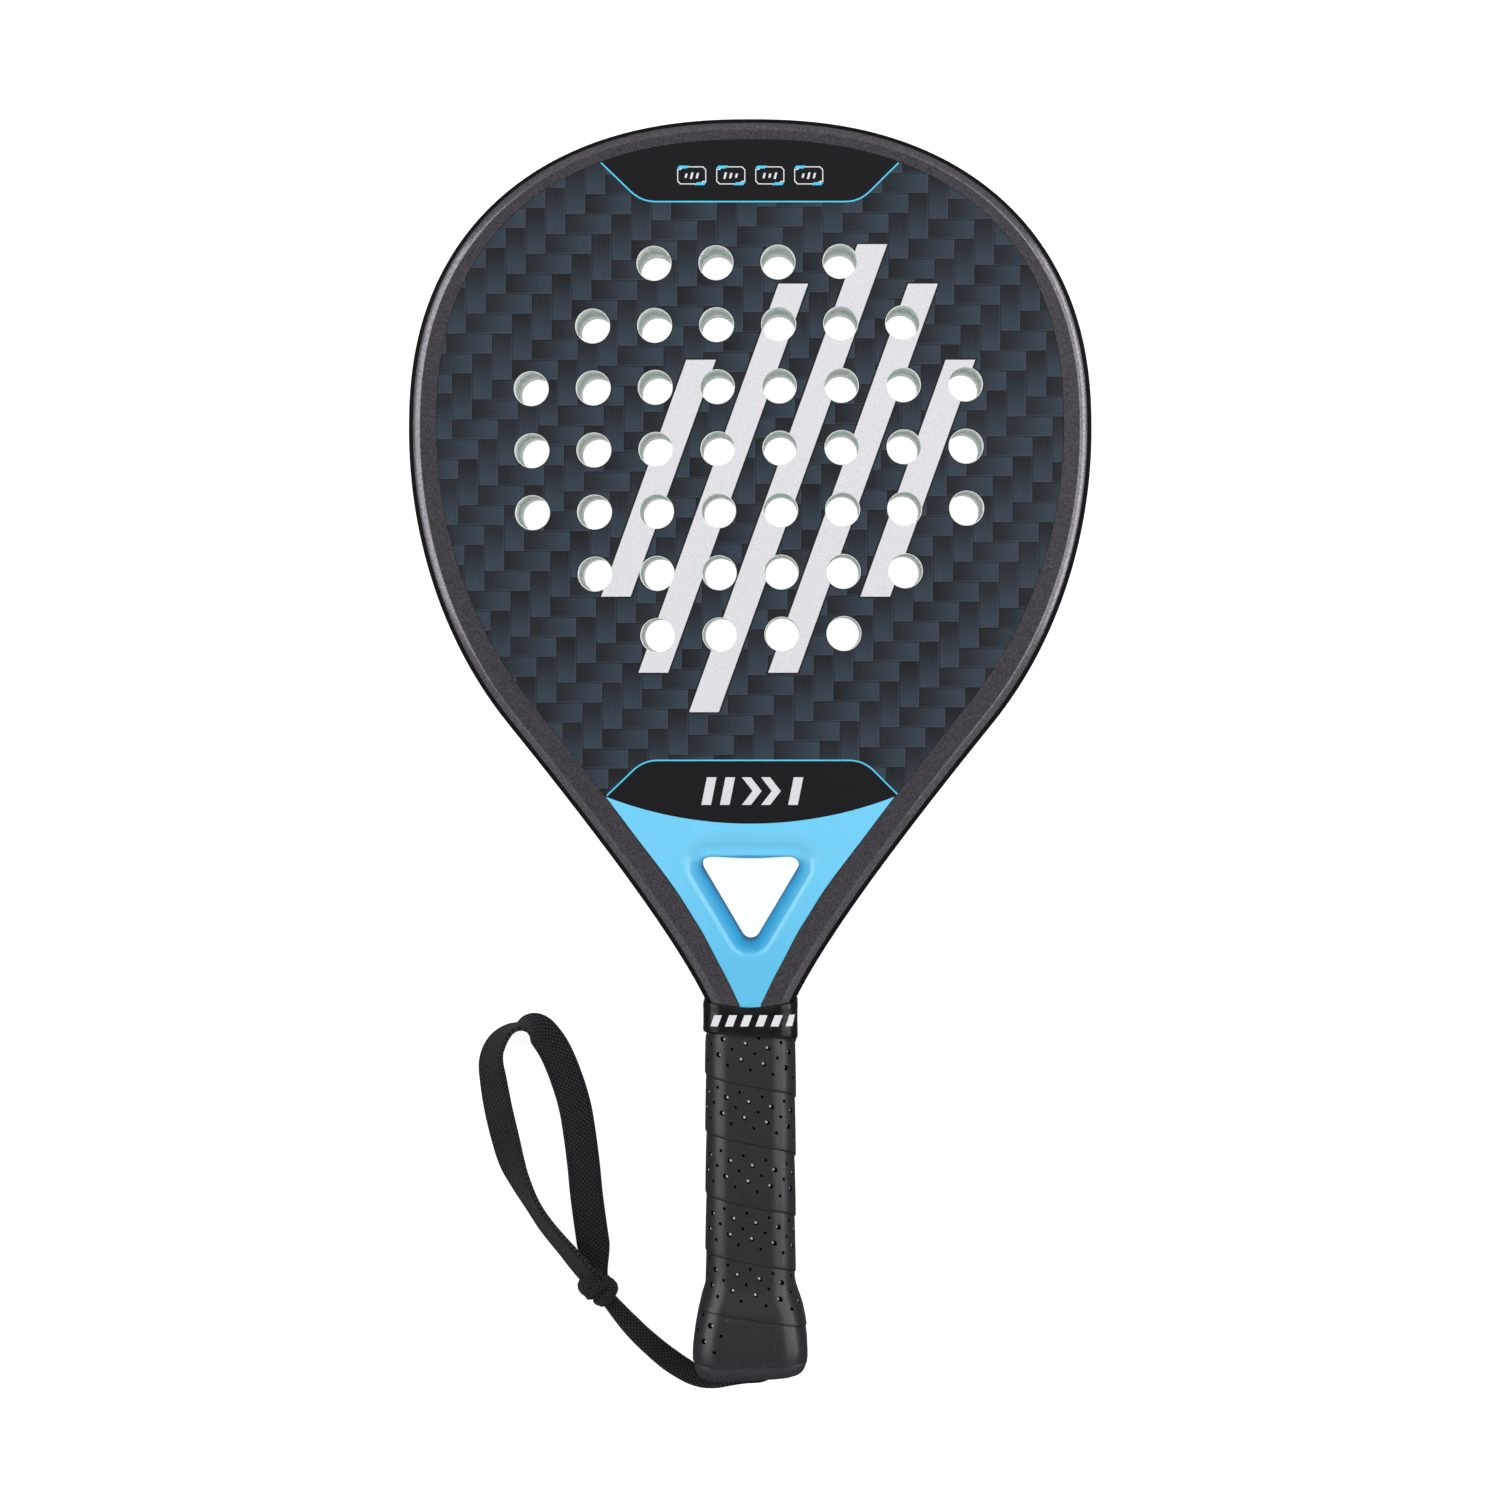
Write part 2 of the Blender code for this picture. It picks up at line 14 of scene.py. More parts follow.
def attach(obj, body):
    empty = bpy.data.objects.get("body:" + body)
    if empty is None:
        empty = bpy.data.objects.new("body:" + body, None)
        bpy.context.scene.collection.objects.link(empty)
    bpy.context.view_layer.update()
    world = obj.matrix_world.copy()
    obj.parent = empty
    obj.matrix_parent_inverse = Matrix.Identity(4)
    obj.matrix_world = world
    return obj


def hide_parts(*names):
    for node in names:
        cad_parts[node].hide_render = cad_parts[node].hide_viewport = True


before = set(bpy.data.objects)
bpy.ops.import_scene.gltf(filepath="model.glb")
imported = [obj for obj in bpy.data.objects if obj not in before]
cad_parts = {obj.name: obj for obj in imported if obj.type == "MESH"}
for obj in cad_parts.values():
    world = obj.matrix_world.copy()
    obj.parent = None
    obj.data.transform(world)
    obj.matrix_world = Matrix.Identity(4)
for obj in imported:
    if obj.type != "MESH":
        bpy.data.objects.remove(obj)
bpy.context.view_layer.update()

MM = 0.001

# ---------------------------------------------------------------- driving dimensions, as in the CAD model
LENGTH = 450.0
THICKNESS = 36.0
MID_Z = THICKNESS / 2

HALF_WIDTH = 121.5
WIDEST_Y = 339.5
CROWN_POWER = 2.3
LOWER_REACH = 148.5
LOWER_ANGLE = math.radians(44.3)
THROAT_END = (16.3, 136.8)
THROAT_HANDLES = (20.0, 35.0)
THROAT_END_LEAN = 0.5

LEG_HALF = (13.6, 11.6)
LEG_TOP_Y = 131.0
LEG_END_Y = 12.5
COLLAR_Y = (123.9, 135.7)
COLLAR_HALF = (16.95, 15.1)
BAND_STOPS = (
    (LEG_TOP_Y, 10.3), (133.2, 10.9), (136.8, 10.4), (143.0, 10.5), (158.0, 11.4), (169.0, 11.8),
    (190.0, 11.3), (235.0, 11.3), (340.0, 10.2), (LENGTH, 7.8),
)
HALF_THICKNESS_STOPS = ((126.5, LEG_HALF[1]), (LEG_TOP_Y, 14.3), (137.5, 14.5), (205.0, MID_Z))

FACE_EDGE_RADIUS = 142.0
FACE_EDGE_LOW_Y = 199.5
HOLE_RADIUS = 6.2
HOLE_PITCH = 22.0
HOLE_ROWS = (4, 6, 8, 8, 8, 6, 4)
GRID_CENTRE = (-0.4, 332.55)
GRID_TURN = math.radians(0.6)

OPENING_TOP_Y = 187.5
OPENING_TIP_Y = 153.9
OPENING_HALF = 20.0
OPENING_SAG = 0.6  # of its top edge
OPENING_CORNER = 3.4
DISH_DEPTH = 6.0

LACE_WIDTH = 12.0
LACE_THICKNESS = 2.0
LACE_HOLE = (6.0, 10.8)

# ---------------------------------------------------------------- sizes that only the looks use
SEAM = 0.08  # left between the hoop and what it holds
SKIN_THICKNESS = 1.2
CORE_GAP = 0.05  # between the core and each skin
CORE_INSET = 0.2  # from the hoop's inner edge
HOLE_SIDES = 48
SKIN_TOP = 35.84  # the printed layers stand on this, up to the hoop's 36
PRINT_TOP = 35.92
INK_TOP = 35.97
OUTLINE_TOP = 36.0
TOW_WIDTH = 7.06
TOW_LENGTH = 16.3
WEAVE_CORNER = (-72.6, 408.6)  # where the herringbone is counted from


def place(x, y, z):
    """A point of the racket, in metres in the part's frame."""
    return Vector((x, y - LENGTH / 2, z)) * MM


# ---------------------------------------------------------------- camera, floor and light, in metres
CAMERA_SPOT = (0.0162, 0.0309, 1.276)
CAMERA_LENS = 83.9
CAMERA_SHIFT = (-0.0305, -0.057)
FLOOR_HALF = 6.0
FLOOR_DROP = 0.0004  # below the racket's back
FLOOR_GLOW = 0.88
SKY_STRENGTH = 0.84
SKY_STOPS = ((0.0, 0.1), (0.02, 0.25), (0.4, 0.5), (0.8, 0.6), (0.93, 0.25), (1.0, 0.06))


def add_object(name, data):
    made = bpy.data.objects.new(name, data)
    bpy.context.scene.collection.objects.link(made)
    return made


def build_camera():
    data = bpy.data.cameras.new("view")
    data.sensor_width = 36.0
    data.lens = CAMERA_LENS
    data.shift_x, data.shift_y = CAMERA_SHIFT
    data.clip_start = 0.05
    camera = add_object("view", data)
    camera.location = CAMERA_SPOT
    bpy.context.scene.camera = camera


def build_floor():
    """A plain white floor, lit from within like a light table."""
    look = bpy.data.materials.new("floor_white")
    look.use_nodes = True
    shader = look.node_tree.nodes["Principled BSDF"]
    shader.inputs["Base Color"].default_value = (0.5, 0.5, 0.5, 1)
    shader.inputs["Roughness"].default_value = 1.0
    shader.inputs["Specular IOR Level"].default_value = 0.0
    shader.inputs["Emission Color"].default_value = (1, 1, 1, 1)
    shader.inputs["Emission Strength"].default_value = FLOOR_GLOW
    mesh = bpy.data.meshes.new("floor")
    shape = bmesh.new()
    bmesh.ops.create_grid(shape, x_segments=1, y_segments=1, size=FLOOR_HALF)
    shape.to_mesh(mesh)
    shape.free()
    mesh.materials.append(look)
    floor = add_object("floor", mesh)
    floor.location.z = -FLOOR_DROP
    floor.visible_glossy = False


def build_sky():
    """Studio light from all round: dim overhead where the camera is, bright at mid height, dark below."""
    world = bpy.data.worlds.new("studio")
    world.use_nodes = True
    tree = world.node_tree
    direction = tree.nodes.new("ShaderNodeTexCoord")
    split = tree.nodes.new("ShaderNodeSeparateXYZ")
    ramp = tree.nodes.new("ShaderNodeValToRGB")
    tree.links.new(direction.outputs["Generated"], split.inputs[0])
    tree.links.new(split.outputs["Z"], ramp.inputs[0])
    elements = ramp.color_ramp.elements
    for position, _ in SKY_STOPS[2:]:
        elements.new(position)
    for element, (position, level) in zip(elements, SKY_STOPS):
        element.position = position
        element.color = (level, level, level, 1)
    background = tree.nodes["Background"]
    background.inputs["Strength"].default_value = SKY_STRENGTH
    tree.links.new(ramp.outputs[0], background.inputs["Color"])
    bpy.context.scene.world = world


def build_lamp(name, spot, target, size, power):
    data = bpy.data.lights.new(name, "AREA")
    data.shape = "RECTANGLE"
    data.size, data.size_y = size
    data.energy = power
    lamp = add_object(name, data)
    lamp.location = spot
    lamp.rotation_euler = (Vector(target) - Vector(spot)).to_track_quat("-Z", "Y").to_euler()


def build_stage():
    build_camera()
    build_floor()
    build_sky()
    build_lamp("left_softbox", (-0.95, 0.3, 1.15), (0, 0.15, 0), (1.4, 0.75), 9.5)
    build_lamp("right_softbox", (0.8, 0.25, 1.25), (0, 0.1, 0), (1.4, 0.9), 8.5)
    build_lamp("left_strip", (-1.3, 0.35, 0.72), (0, 0.2, 0), (1.5, 0.4), 5.5)
    build_lamp("right_strip", (1.3, 0.3, 0.68), (0, 0.2, 0), (1.5, 0.35), 8)
    bpy.context.scene.view_settings.view_transform = "Standard"


# ---------------------------------------------------------------- materials
def tint(colour):
    """An sRGB colour of three numbers up to 255, as a node wants it."""
    linear = [c / 255 / 12.92 if c <= 10 else ((c / 255 + 0.055) / 1.055) ** 2.4 for c in colour]
    return (*linear, 1.0)


class Look:
    """A material being made, with short calls that add nodes and give their output."""

    def __init__(self, name, roughness=0.5, specular=0.5, coat=0.0, coat_roughness=0.1):
        self.material = bpy.data.materials.new(name)
        self.material.use_nodes = True
        self.tree = self.material.node_tree
        self.shader = self.tree.nodes["Principled BSDF"]
        self.set("Roughness", roughness)
        self.set("Specular IOR Level", specular)
        self.set("Coat Weight", coat)
        self.set("Coat Roughness", coat_roughness)
        mapped = self.add("ShaderNodeVectorMath", operation="SCALE")
        self.feed(mapped.inputs[0], self.add("ShaderNodeTexCoord").outputs["Object"])
        mapped.inputs["Scale"].default_value = 1 / MM
        self.spot = mapped.outputs[0]  # the point in millimetres

    def add(self, kind, values=(), **settings):
        """A new node with those settings, its first inputs fed with the values."""
        made = self.tree.nodes.new(kind)
        for key, value in settings.items():
            setattr(made, key, value)
        for socket, value in zip(made.inputs, values):
            self.feed(socket, value)
        return made

    def feed(self, socket, value):
        if isinstance(value, bpy.types.NodeSocket):
            self.tree.links.new(value, socket)
        else:
            socket.default_value = value

    def set(self, name, value):
        self.feed(self.shader.inputs[name], value)

    def math(self, operation, *values):
        return self.add("ShaderNodeMath", values, operation=operation).outputs[0]

    def plus(self, a, b):
        return self.math("ADD", a, b)

    def minus(self, a, b):
        return self.math("SUBTRACT", a, b)

    def times(self, a, b):
        return self.math("MULTIPLY", a, b)

    def over(self, a, b):
        return self.math("DIVIDE", a, b)

    def distance(self, x, y):
        return self.math("POWER", self.plus(self.times(x, x), self.times(y, y)), 0.5)

    def split(self, vector):
        return self.add("ShaderNodeSeparateXYZ", [vector]).outputs

    def local(self):
        """The values that the mesh keeps at its points, such as the distance along a cord."""
        return self.split(self.add("ShaderNodeAttribute", attribute_name="local").outputs["Vector"])

    def mix(self, factor, low, high):
        made = self.add("ShaderNodeMix", data_type="RGBA")
        for socket, value in zip((made.inputs[0], made.inputs[6], made.inputs[7]), (factor, low, high)):
            self.feed(socket, tint(value) if isinstance(value, tuple) else value)
        return made.outputs[2]

    def tinge(self, colour, mask, share, other):
        """The colour turned towards another by that share where the mask is 1."""
        return self.mix(self.times(mask, share), colour, other)

    def step(self, value, low, high, start=0.0, end=1.0):
        """value mapped smoothly from low..high to start..end."""
        values = value, low, high, start, end
        return self.add("ShaderNodeMapRange", values, interpolation_type="SMOOTHSTEP").outputs[0]

    def noise(self, size, detail=2.0, vector=None):
        """Soft noise whose blotches are about size millimetres across."""
        made = self.add("ShaderNodeTexNoise")
        self.feed(made.inputs["Vector"], vector or self.spot)
        made.inputs["Scale"].default_value = 1 / size
        made.inputs["Detail"].default_value = detail
        return made.outputs["Fac"]

    def cells(self, size, feature="F1", output="Color"):
        made = self.add("ShaderNodeTexVoronoi", feature=feature)
        self.feed(made.inputs["Vector"], self.spot)
        made.inputs["Scale"].default_value = 1 / size
        return made.outputs[output]

    def stretched(self, x, y, z):
        """The point with each axis divided by a length, so that noise runs along the longest one."""
        return self.add("ShaderNodeVectorMath", (self.spot, (x, y, z)), operation="DIVIDE").outputs[0]

    def relief(self, height, depth):
        """Bumps of that depth in millimetres where height goes from 0 to 1."""
        made = self.add("ShaderNodeBump")
        made.inputs["Strength"].default_value = 1.0
        made.inputs["Distance"].default_value = depth * MM
        self.feed(made.inputs["Height"], height)
        self.set("Normal", made.outputs[0])

    def done(self, colour):
        self.set("Base Color", tint(colour) if isinstance(colour, tuple) else colour)
        return self.material

    def grained(self, size, dark, light, depth=0.0, detail=3):
        """Done in two close colours, in grain of about size millimetres that can stand out by depth."""
        grain = self.noise(size, detail)
        if depth:
            self.relief(grain, depth)
        return self.done(self.mix(grain, dark, light))


def frame_paint():
    """Metallic flake on the faces of the hoop, satin black on its side."""
    look = Look("frame_paint")
    inset = look.local()[0]
    painted = look.step(inset, 1.7, 1.85)
    flake = look.split(look.cells(0.45))[0]
    fine = look.noise(0.5, 3)
    sparkle = look.plus(look.times(flake, 0.5), look.times(fine, 0.5))
    metal = look.mix(look.step(sparkle, 0.1, 0.9), (81, 79, 84), (118, 115, 121))
    black = look.mix(look.noise(3, 4), (10, 10, 12), (20, 20, 23))
    look.set("Metallic", look.times(painted, 0.7))
    look.set("Specular IOR Level", look.step(painted, 0, 1, 0.12, 0.35))
    look.set("Roughness", look.step(painted, 0, 1, 0.34, 0.2))
    look.relief(look.times(flake, painted), 0.001)
    return look.done(look.mix(painted, black, metal))


def weave_tiles(look):
    """A herringbone of flat tows seen from above: how far along and across its tow a point is, the tow's
    number and whether it lies level."""
    x, y, _ = look.split(look.spot)
    u = look.minus(x, WEAVE_CORNER[0])
    v = look.minus(WEAVE_CORNER[1] - LENGTH / 2, y)
    both = look.plus(u, v)

    def tow(a, b, shift):
        """Tows that lie along a, stacked along b."""
        repeat = look.math("FLOOR", look.over(look.minus(both, shift), 2 * TOW_LENGTH))
        jump = look.times(repeat, TOW_LENGTH)
        b = look.minus(b, jump)
        a = look.minus(a, jump)
        row = look.math("FLOOR", look.over(b, TOW_WIDTH))
        along = look.over(look.math("MULTIPLY_ADD", row, TOW_WIDTH, a), TOW_LENGTH)
        across = look.math("FRACT", look.over(b, TOW_WIDTH))
        number = look.math("MULTIPLY_ADD", repeat, 13.7, look.times(row, 5.3))
        return along, across, number

    level = tow(u, v, 0.0)
    upright = tow(v, look.minus(u, TOW_LENGTH), TOW_LENGTH)
    inside = look.math("COMPARE", look.math("FLOOR", level[0]), 0.0, 0.5)
    picked = []
    for a, b in zip(upright, level):
        made = look.add("ShaderNodeMix", data_type="FLOAT")
        for socket, value in zip(made.inputs[:1] + made.inputs[2:4], (inside, a, b)):
            look.feed(socket, value)
        picked.append(made.outputs[0])
    return (*picked, inside)


def woven_face():
    """Wide flat tows in a herringbone under a satin lacquer, with painted highlight and shade on their
    edges.
    """
    look = Look("woven_face", roughness=0.45, specular=0.2, coat=0.08, coat_roughness=0.3)
    along, across, number, inside = weave_tiles(look)
    shade = look.mix(look.step(along, 0.0, 1.0), (14, 15, 19), (43, 56, 67))
    random = look.add("ShaderNodeTexWhiteNoise", noise_dimensions="1D")
    look.feed(random.inputs["W"], look.plus(number, look.times(inside, 3.1)))
    varied = look.tinge(shade, random.outputs["Value"], 0.12, (62, 74, 86))
    fibres_per_tow = 9
    fibres = look.math("SINE", look.times(across, 2 * math.pi * fibres_per_tow))
    varied = look.tinge(varied, look.step(fibres, -1, 1), 0.07, (92, 100, 110))
    # Painted highlight along the far edges of each tow
    lit = look.math("MAXIMUM", look.step(along, 0.975, 0.99), look.step(across, 0.93, 0.965))
    varied = look.tinge(varied, lit, 0.25, (70, 83, 94))
    # Painted shade along the near edges of each tow
    dark = look.math("MAXIMUM", look.step(along, 0.028, 0.012), look.step(across, 0.07, 0.035))
    varied = look.tinge(varied, dark, 0.6, (14, 15, 18))
    crown = look.times(look.math("SINE", look.times(across, math.pi)), 0.6)
    look.relief(look.math("MULTIPLY_ADD", fibres, 0.06, crown), 0.05)
    return look.done(varied)


def panel_paint():
    look = Look("panel_paint", roughness=0.45, specular=0.2, coat=0.05, coat_roughness=0.3)
    return look.grained(0.8, (9, 9, 13), (16, 17, 22), depth=0.01)


def line_ink():
    return Look("line_ink", roughness=0.45, specular=0.3).grained(1.2, (66, 184, 222), (92, 206, 240))


def silver_ink():
    """Silver screen print with a fine grain."""
    look = Look("silver_ink", specular=0.3)
    grain = look.noise(0.45, 3)
    look.relief(grain, 0.02)
    return look.done(look.mix(look.step(grain, 0.3, 0.7), (200, 200, 205), (219, 219, 223)))


def outline_ink():
    return Look("outline_ink", specular=0.2).grained(1.0, (20, 21, 24), (32, 33, 37), detail=2)


def white_ink():
    return Look("white_ink", specular=0.3).grained(0.6, (204, 207, 210), (228, 229, 231))


def rim_paint():
    return Look("rim_paint", roughness=0.45, specular=0.4).grained(0.7, (212, 221, 217), (236, 240, 238))


def core_foam():
    """Pale closed-cell foam with fine pores, their middles painted a little darker as painted shade."""
    look = Look("core_foam", roughness=0.75, specular=0.2)
    pores = look.cells(0.7, "SMOOTH_F1", "Distance")
    colour = look.mix(look.noise(5, 3), (234, 241, 237), (243, 248, 245))
    look.relief(pores, 0.004)
    # The middle of each pore is painted darker: painted shade in the pores.
    return look.done(look.mix(look.step(pores, 0.5, 0.1, 0, 0.2), colour, (206, 217, 211)))


def yoke_paint():
    """Light blue gloss paint, painted darker and deeper blue down in the dish as painted shade."""
    look = Look("yoke_paint", roughness=0.34, specular=0.4, coat=0.35, coat_roughness=0.12)
    height = look.split(look.spot)[2]
    # Painted shade: darker, deeper blue lower down in the dish, nearer the racket's middle plane.
    below = look.step(look.math("ABSOLUTE", look.minus(height, MID_Z)), 10.0, 17.6)
    even = look.mix(look.noise(14, 2), (107, 199, 237), (114, 203, 240))
    look.relief(look.noise(0.9, 2), 0.012)
    return look.done(look.mix(below, (56, 164, 210), even))


def collar_rubber():
    """Glossy black rubber band with faint stretch lines."""
    look = Look("collar_rubber", specular=0.35)
    lines = look.noise(1.0, 3, look.stretched(14, 1.3, 14))
    look.relief(lines, 0.25)
    look.set("Roughness", look.step(look.noise(4, 3), 0.3, 0.7, 0.22, 0.38))
    return look.done(look.mix(look.noise(6, 3), (11, 11, 12), (19, 19, 21)))


def grip_tape():
    """Soft black tape wound in a helix, with rows of small and large perforations along it, and painted
    shade and highlight.
    """
    look = Look("grip_tape")
    along, across, turns = look.local()
    pitch = 7.88  # between the perforations of a row
    small, large = (0.478, 0.5), (0.978, 0.85)  # how far a row is shifted, and its radius
    rows = ((6.0, *small), (9.0, *large), (12.0, *small), (14.9, *large), (17.7, *small))
    facing = look.times(look.minus(turns, 0.25), 4 * math.pi)
    side = look.math("POWER", look.math("SINE", facing), 3.0)
    # How far the painted highlight in the large perforations shows: hidden at the sides.
    seen = look.step(look.math("COSINE", facing), -0.9, -0.3)
    holes = painted_glint = 0.0
    for place_across, shift, radius in rows:
        shift -= 0.25 * place_across / pitch
        cell = look.math("FRACT", look.plus(look.over(along, pitch), shift))
        dx = look.times(look.minus(cell, 0.5), pitch)
        dy = look.minus(across, place_across)
        reach = look.distance(dx, dy)
        holes = look.math("MAXIMUM", holes, look.step(reach, radius + 0.12, radius - 0.12))
        # In each large perforation a painted highlight: a pale spot shifted by the way the tape faces.
        if radius == large[1]:
            dx = look.plus(dx, look.math("MULTIPLY_ADD", side, 0.9, 0.1))
            dy = look.minus(dy, 0.15)
            painted_glint = look.math("MAXIMUM", painted_glint, look.step(look.distance(dx, dy), 0.62, 0.3))
    perforated = look.step(turns, 5.19, 5.17)
    holes = look.times(holes, perforated)
    painted_glint = look.times(look.times(painted_glint, holes), seen)
    grain = look.noise(0.5, 4)
    tape = look.mix(look.noise(9, 3), (33, 33, 36), (43, 42, 46))
    tape = look.mix(look.step(grain, 0.3, 0.7, 0.0, 0.25), tape, (24, 24, 27))
    # Painted shade along both edges of the tape, where each turn lies over the next.
    painted_seam_shade = look.step(across, 0.5, 0.0)
    painted_tuck_shade = look.step(across, 21.9, 22.7)
    tape = look.tinge(tape, look.math("MAXIMUM", painted_seam_shade, painted_tuck_shade), 0.7, (8, 8, 9))
    # The perforations are painted near black: painted shade down in them.
    tape = look.mix(holes, tape, (2, 2, 2))
    # The painted highlight in the large perforations.
    tape = look.tinge(tape, painted_glint, 0.85, (176, 176, 180))
    dents = look.minus(look.times(grain, 0.05), holes)
    look.relief(dents, 0.5)
    look.set("Roughness", look.step(grain, 0.3, 0.7, 0.3, 0.4))
    look.set("Specular IOR Level", look.math("MULTIPLY_ADD", holes, -0.45, 0.45))
    return look.done(tape)


def cap_plastic():
    look = Look("cap_plastic", roughness=0.55, specular=0.4)
    return look.grained(0.4, (38, 37, 42), (50, 49, 54), depth=0.04)


def finishing_vinyl():
    look = Look("finishing_vinyl", roughness=0.35, specular=0.5)
    look.relief(look.noise(0.8, 3, look.stretched(10, 1, 10)), 0.1)
    return look.done(look.mix(look.noise(4, 3), (16, 17, 19), (26, 27, 30)))


def handle_foam():
    look = Look("handle_foam", roughness=0.85, specular=0.2)
    pores = look.cells(0.9, "SMOOTH_F1", "Distance")
    look.relief(pores, 0.15)
    # The middle of each pore is painted darker: painted shade in the pores.
    return look.done(look.mix(look.step(pores, 0.1, 0.6), (186, 178, 158), (212, 206, 190)))


def braid(look, along, across, strand):
    """Height of a flat braid whose strands cross at a slant."""
    one = look.times(look.plus(along, across), math.pi / strand)
    two = look.times(look.minus(along, across), math.pi / strand)
    ridge = look.times(look.math("SINE", one), look.math("SINE", two))
    return look.math("ABSOLUTE", ridge)


def lace_weave(name="lace_weave", on_mesh=True):
    """Black braided lace: slanted strands with fine fibres, painted shade between the strands and in the
    edge channels.
    """
    look = Look(name, roughness=0.9, specular=0.1)
    if on_mesh:
        along, across, _ = look.local()
    else:
        along, across, _ = look.split(look.spot)
    height = braid(look, along, across, 1.7)
    fibres = look.noise(0.25, 3)
    # The strands are painted darker down between them and lighter on their crests: painted shade.
    thread = look.mix(look.step(height, 0.05, 0.7), (6, 6, 7), (44, 44, 47))
    thread = look.mix(look.step(fibres, 0.45, 0.75, 0.0, 0.4), thread, (78, 78, 82))
    # Painted shade in the shallow channel beside each edge.
    edge = look.step(look.math("ABSOLUTE", across), 4.55, 4.8)
    painted_channel_shade = look.times(edge, look.step(look.math("ABSOLUTE", across), 5.05, 4.8))
    thread = look.tinge(thread, painted_channel_shade, 0.6, (6, 6, 7))
    look.relief(look.math("MULTIPLY_ADD", fibres, 0.2, height), 0.35)
    look.set("Sheen Weight", 0.04)
    return look.done(thread)


# ---------------------------------------------------------------- making pieces
def finish_piece(name, mesh, look, stands_for=(), sharp=38):
    made = add_object(name, mesh)
    mesh.materials.clear()
    mesh.materials.append(look)
    mesh.shade_smooth()
    mesh.set_sharp_from_angle(angle=math.radians(sharp))
    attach(made, "root")
    if stands_for:
        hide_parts(*stands_for)
    return made


def keep_local(mesh, values):
    """Keeps up to three values at each point of the mesh, for Look.local()."""
    extra = mesh.attributes.new("local", "FLOAT_VECTOR", "POINT")
    extra.data.foreach_set("vector", [v for value in values for v in (*value, 0, 0, 0)[:3]])


def skin_mesh(name, rings, cyclic=False, caps=True, round_rings=True, keep=None):
    """A surface over rings of equal length. Values past a point's X, Y and Z are kept for Look.local()."""
    mesh = bpy.data.meshes.new(name)
    count = len(rings[0])
    points = [point for ring in rings for point in ring]
    faces = []
    pairs = [(i, i + 1) for i in range(len(rings) - 1)] + ([(len(rings) - 1, 0)] if cyclic else [])
    for low, high in pairs:
        for i in range(count if round_rings else count - 1):
            j = (i + 1) % count
            face = (low * count + i, low * count + j, high * count + j, high * count + i)
            if keep is None or keep([points[k] for k in face]):
                faces.append(face)
    if caps and not cyclic:
        faces.append(tuple(range(count))[::-1])
        faces.append(tuple(range(len(points) - count, len(points))))
    mesh.from_pydata([place(*point[:3]) for point in points], [], faces)
    if len(points[0]) > 3:
        keep_local(mesh, [point[3:] for point in points])
    shape = bmesh.new()
    shape.from_mesh(mesh)
    bmesh.ops.delete(shape, geom=[v for v in shape.verts if not v.link_faces], context="VERTS")
    bmesh.ops.recalc_face_normals(shape, faces=shape.faces)
    shape.to_mesh(mesh)
    shape.free()
    return mesh


def evaluated_mesh(made):
    """The mesh of a curve or of an object with a modifier, which is then removed."""
    bpy.context.view_layer.update()
    mesh = bpy.data.meshes.new_from_object(made.evaluated_get(bpy.context.evaluated_depsgraph_get()))
    bpy.data.objects.remove(made)
    return mesh


def plate_mesh(name, outlines, low, high):
    """A flat piece between two heights: each outline inside another is cut out of it."""
    curve = bpy.data.curves.new(name, "CURVE")
    curve.dimensions = "2D"
    curve.fill_mode = "BOTH"
    curve.extrude = (high - low) / 2 * MM
    for outline in outlines:
        spline = curve.splines.new("POLY")
        spline.points.add(len(outline) - 1)
        spline.use_cyclic_u = True
        for point, (x, y) in zip(spline.points, outline):
            point.co = (*place(x, y, 0), 1)
    mesh = evaluated_mesh(add_object(name + "_outline", curve))
    shape = bmesh.new()
    shape.from_mesh(mesh)
    bmesh.ops.remove_doubles(shape, verts=shape.verts, dist=0.005 * MM)
    bmesh.ops.translate(shape, verts=shape.verts, vec=(0, 0, (low + high) / 2 * MM))
    bmesh.ops.recalc_face_normals(shape, faces=shape.faces)
    shape.to_mesh(mesh)
    shape.free()
    mesh.name = name
    return mesh


def turned_over(mesh, name):
    """The same mesh for the back: turned half round the racket's long axis."""
    copy = mesh.copy()
    copy.name = name
    for vertex in copy.vertices:
        vertex.co = Vector((-vertex.co.x, vertex.co.y, THICKNESS * MM - vertex.co.z))
    return copy


def sunk(mesh, name):
    """The same mesh for the back, mirrored in the racket's middle plane, so that holes stay in line."""
    copy = mesh.copy()
    copy.name = name
    for vertex in copy.vertices:
        vertex.co.z = THICKNESS * MM - vertex.co.z
    copy.flip_normals()
    return copy


def print_layer(name, outlines, low, high, look, cutter=None):
    """One printed shape on the front and the same on the back, cut out where the holes are."""
    for side, turn in (("front_", 1), ("back_", -1)):
        shapes = [[(x * turn, y) for x, y in outline] for outline in outlines]
        mesh = plate_mesh(side + name, shapes, low, high)
        if cutter:
            mesh = cut(mesh, cutter)
        finish_piece(side + name, mesh if turn > 0 else sunk(mesh, side + name), look)


def cut(mesh, cutter):
    """The mesh with the cutter taken out."""
    target = add_object("cut_target", mesh)
    change = target.modifiers.new("cut", "BOOLEAN")
    change.object = cutter
    change.operation = "DIFFERENCE"
    change.solver = "EXACT"
    return evaluated_mesh(target)


def between(y, stops):
    """The value at y, eased from each (Y, value) stop to the next."""
    if y <= stops[0][0]:
        return stops[0][1]
    for (y0, v0), (y1, v1) in zip(stops, stops[1:]):
        if y <= y1:
            t = (y - y0) / (y1 - y0)
            return v0 + (v1 - v0) * t * t * (3 - 2 * t)
    return stops[-1][1]


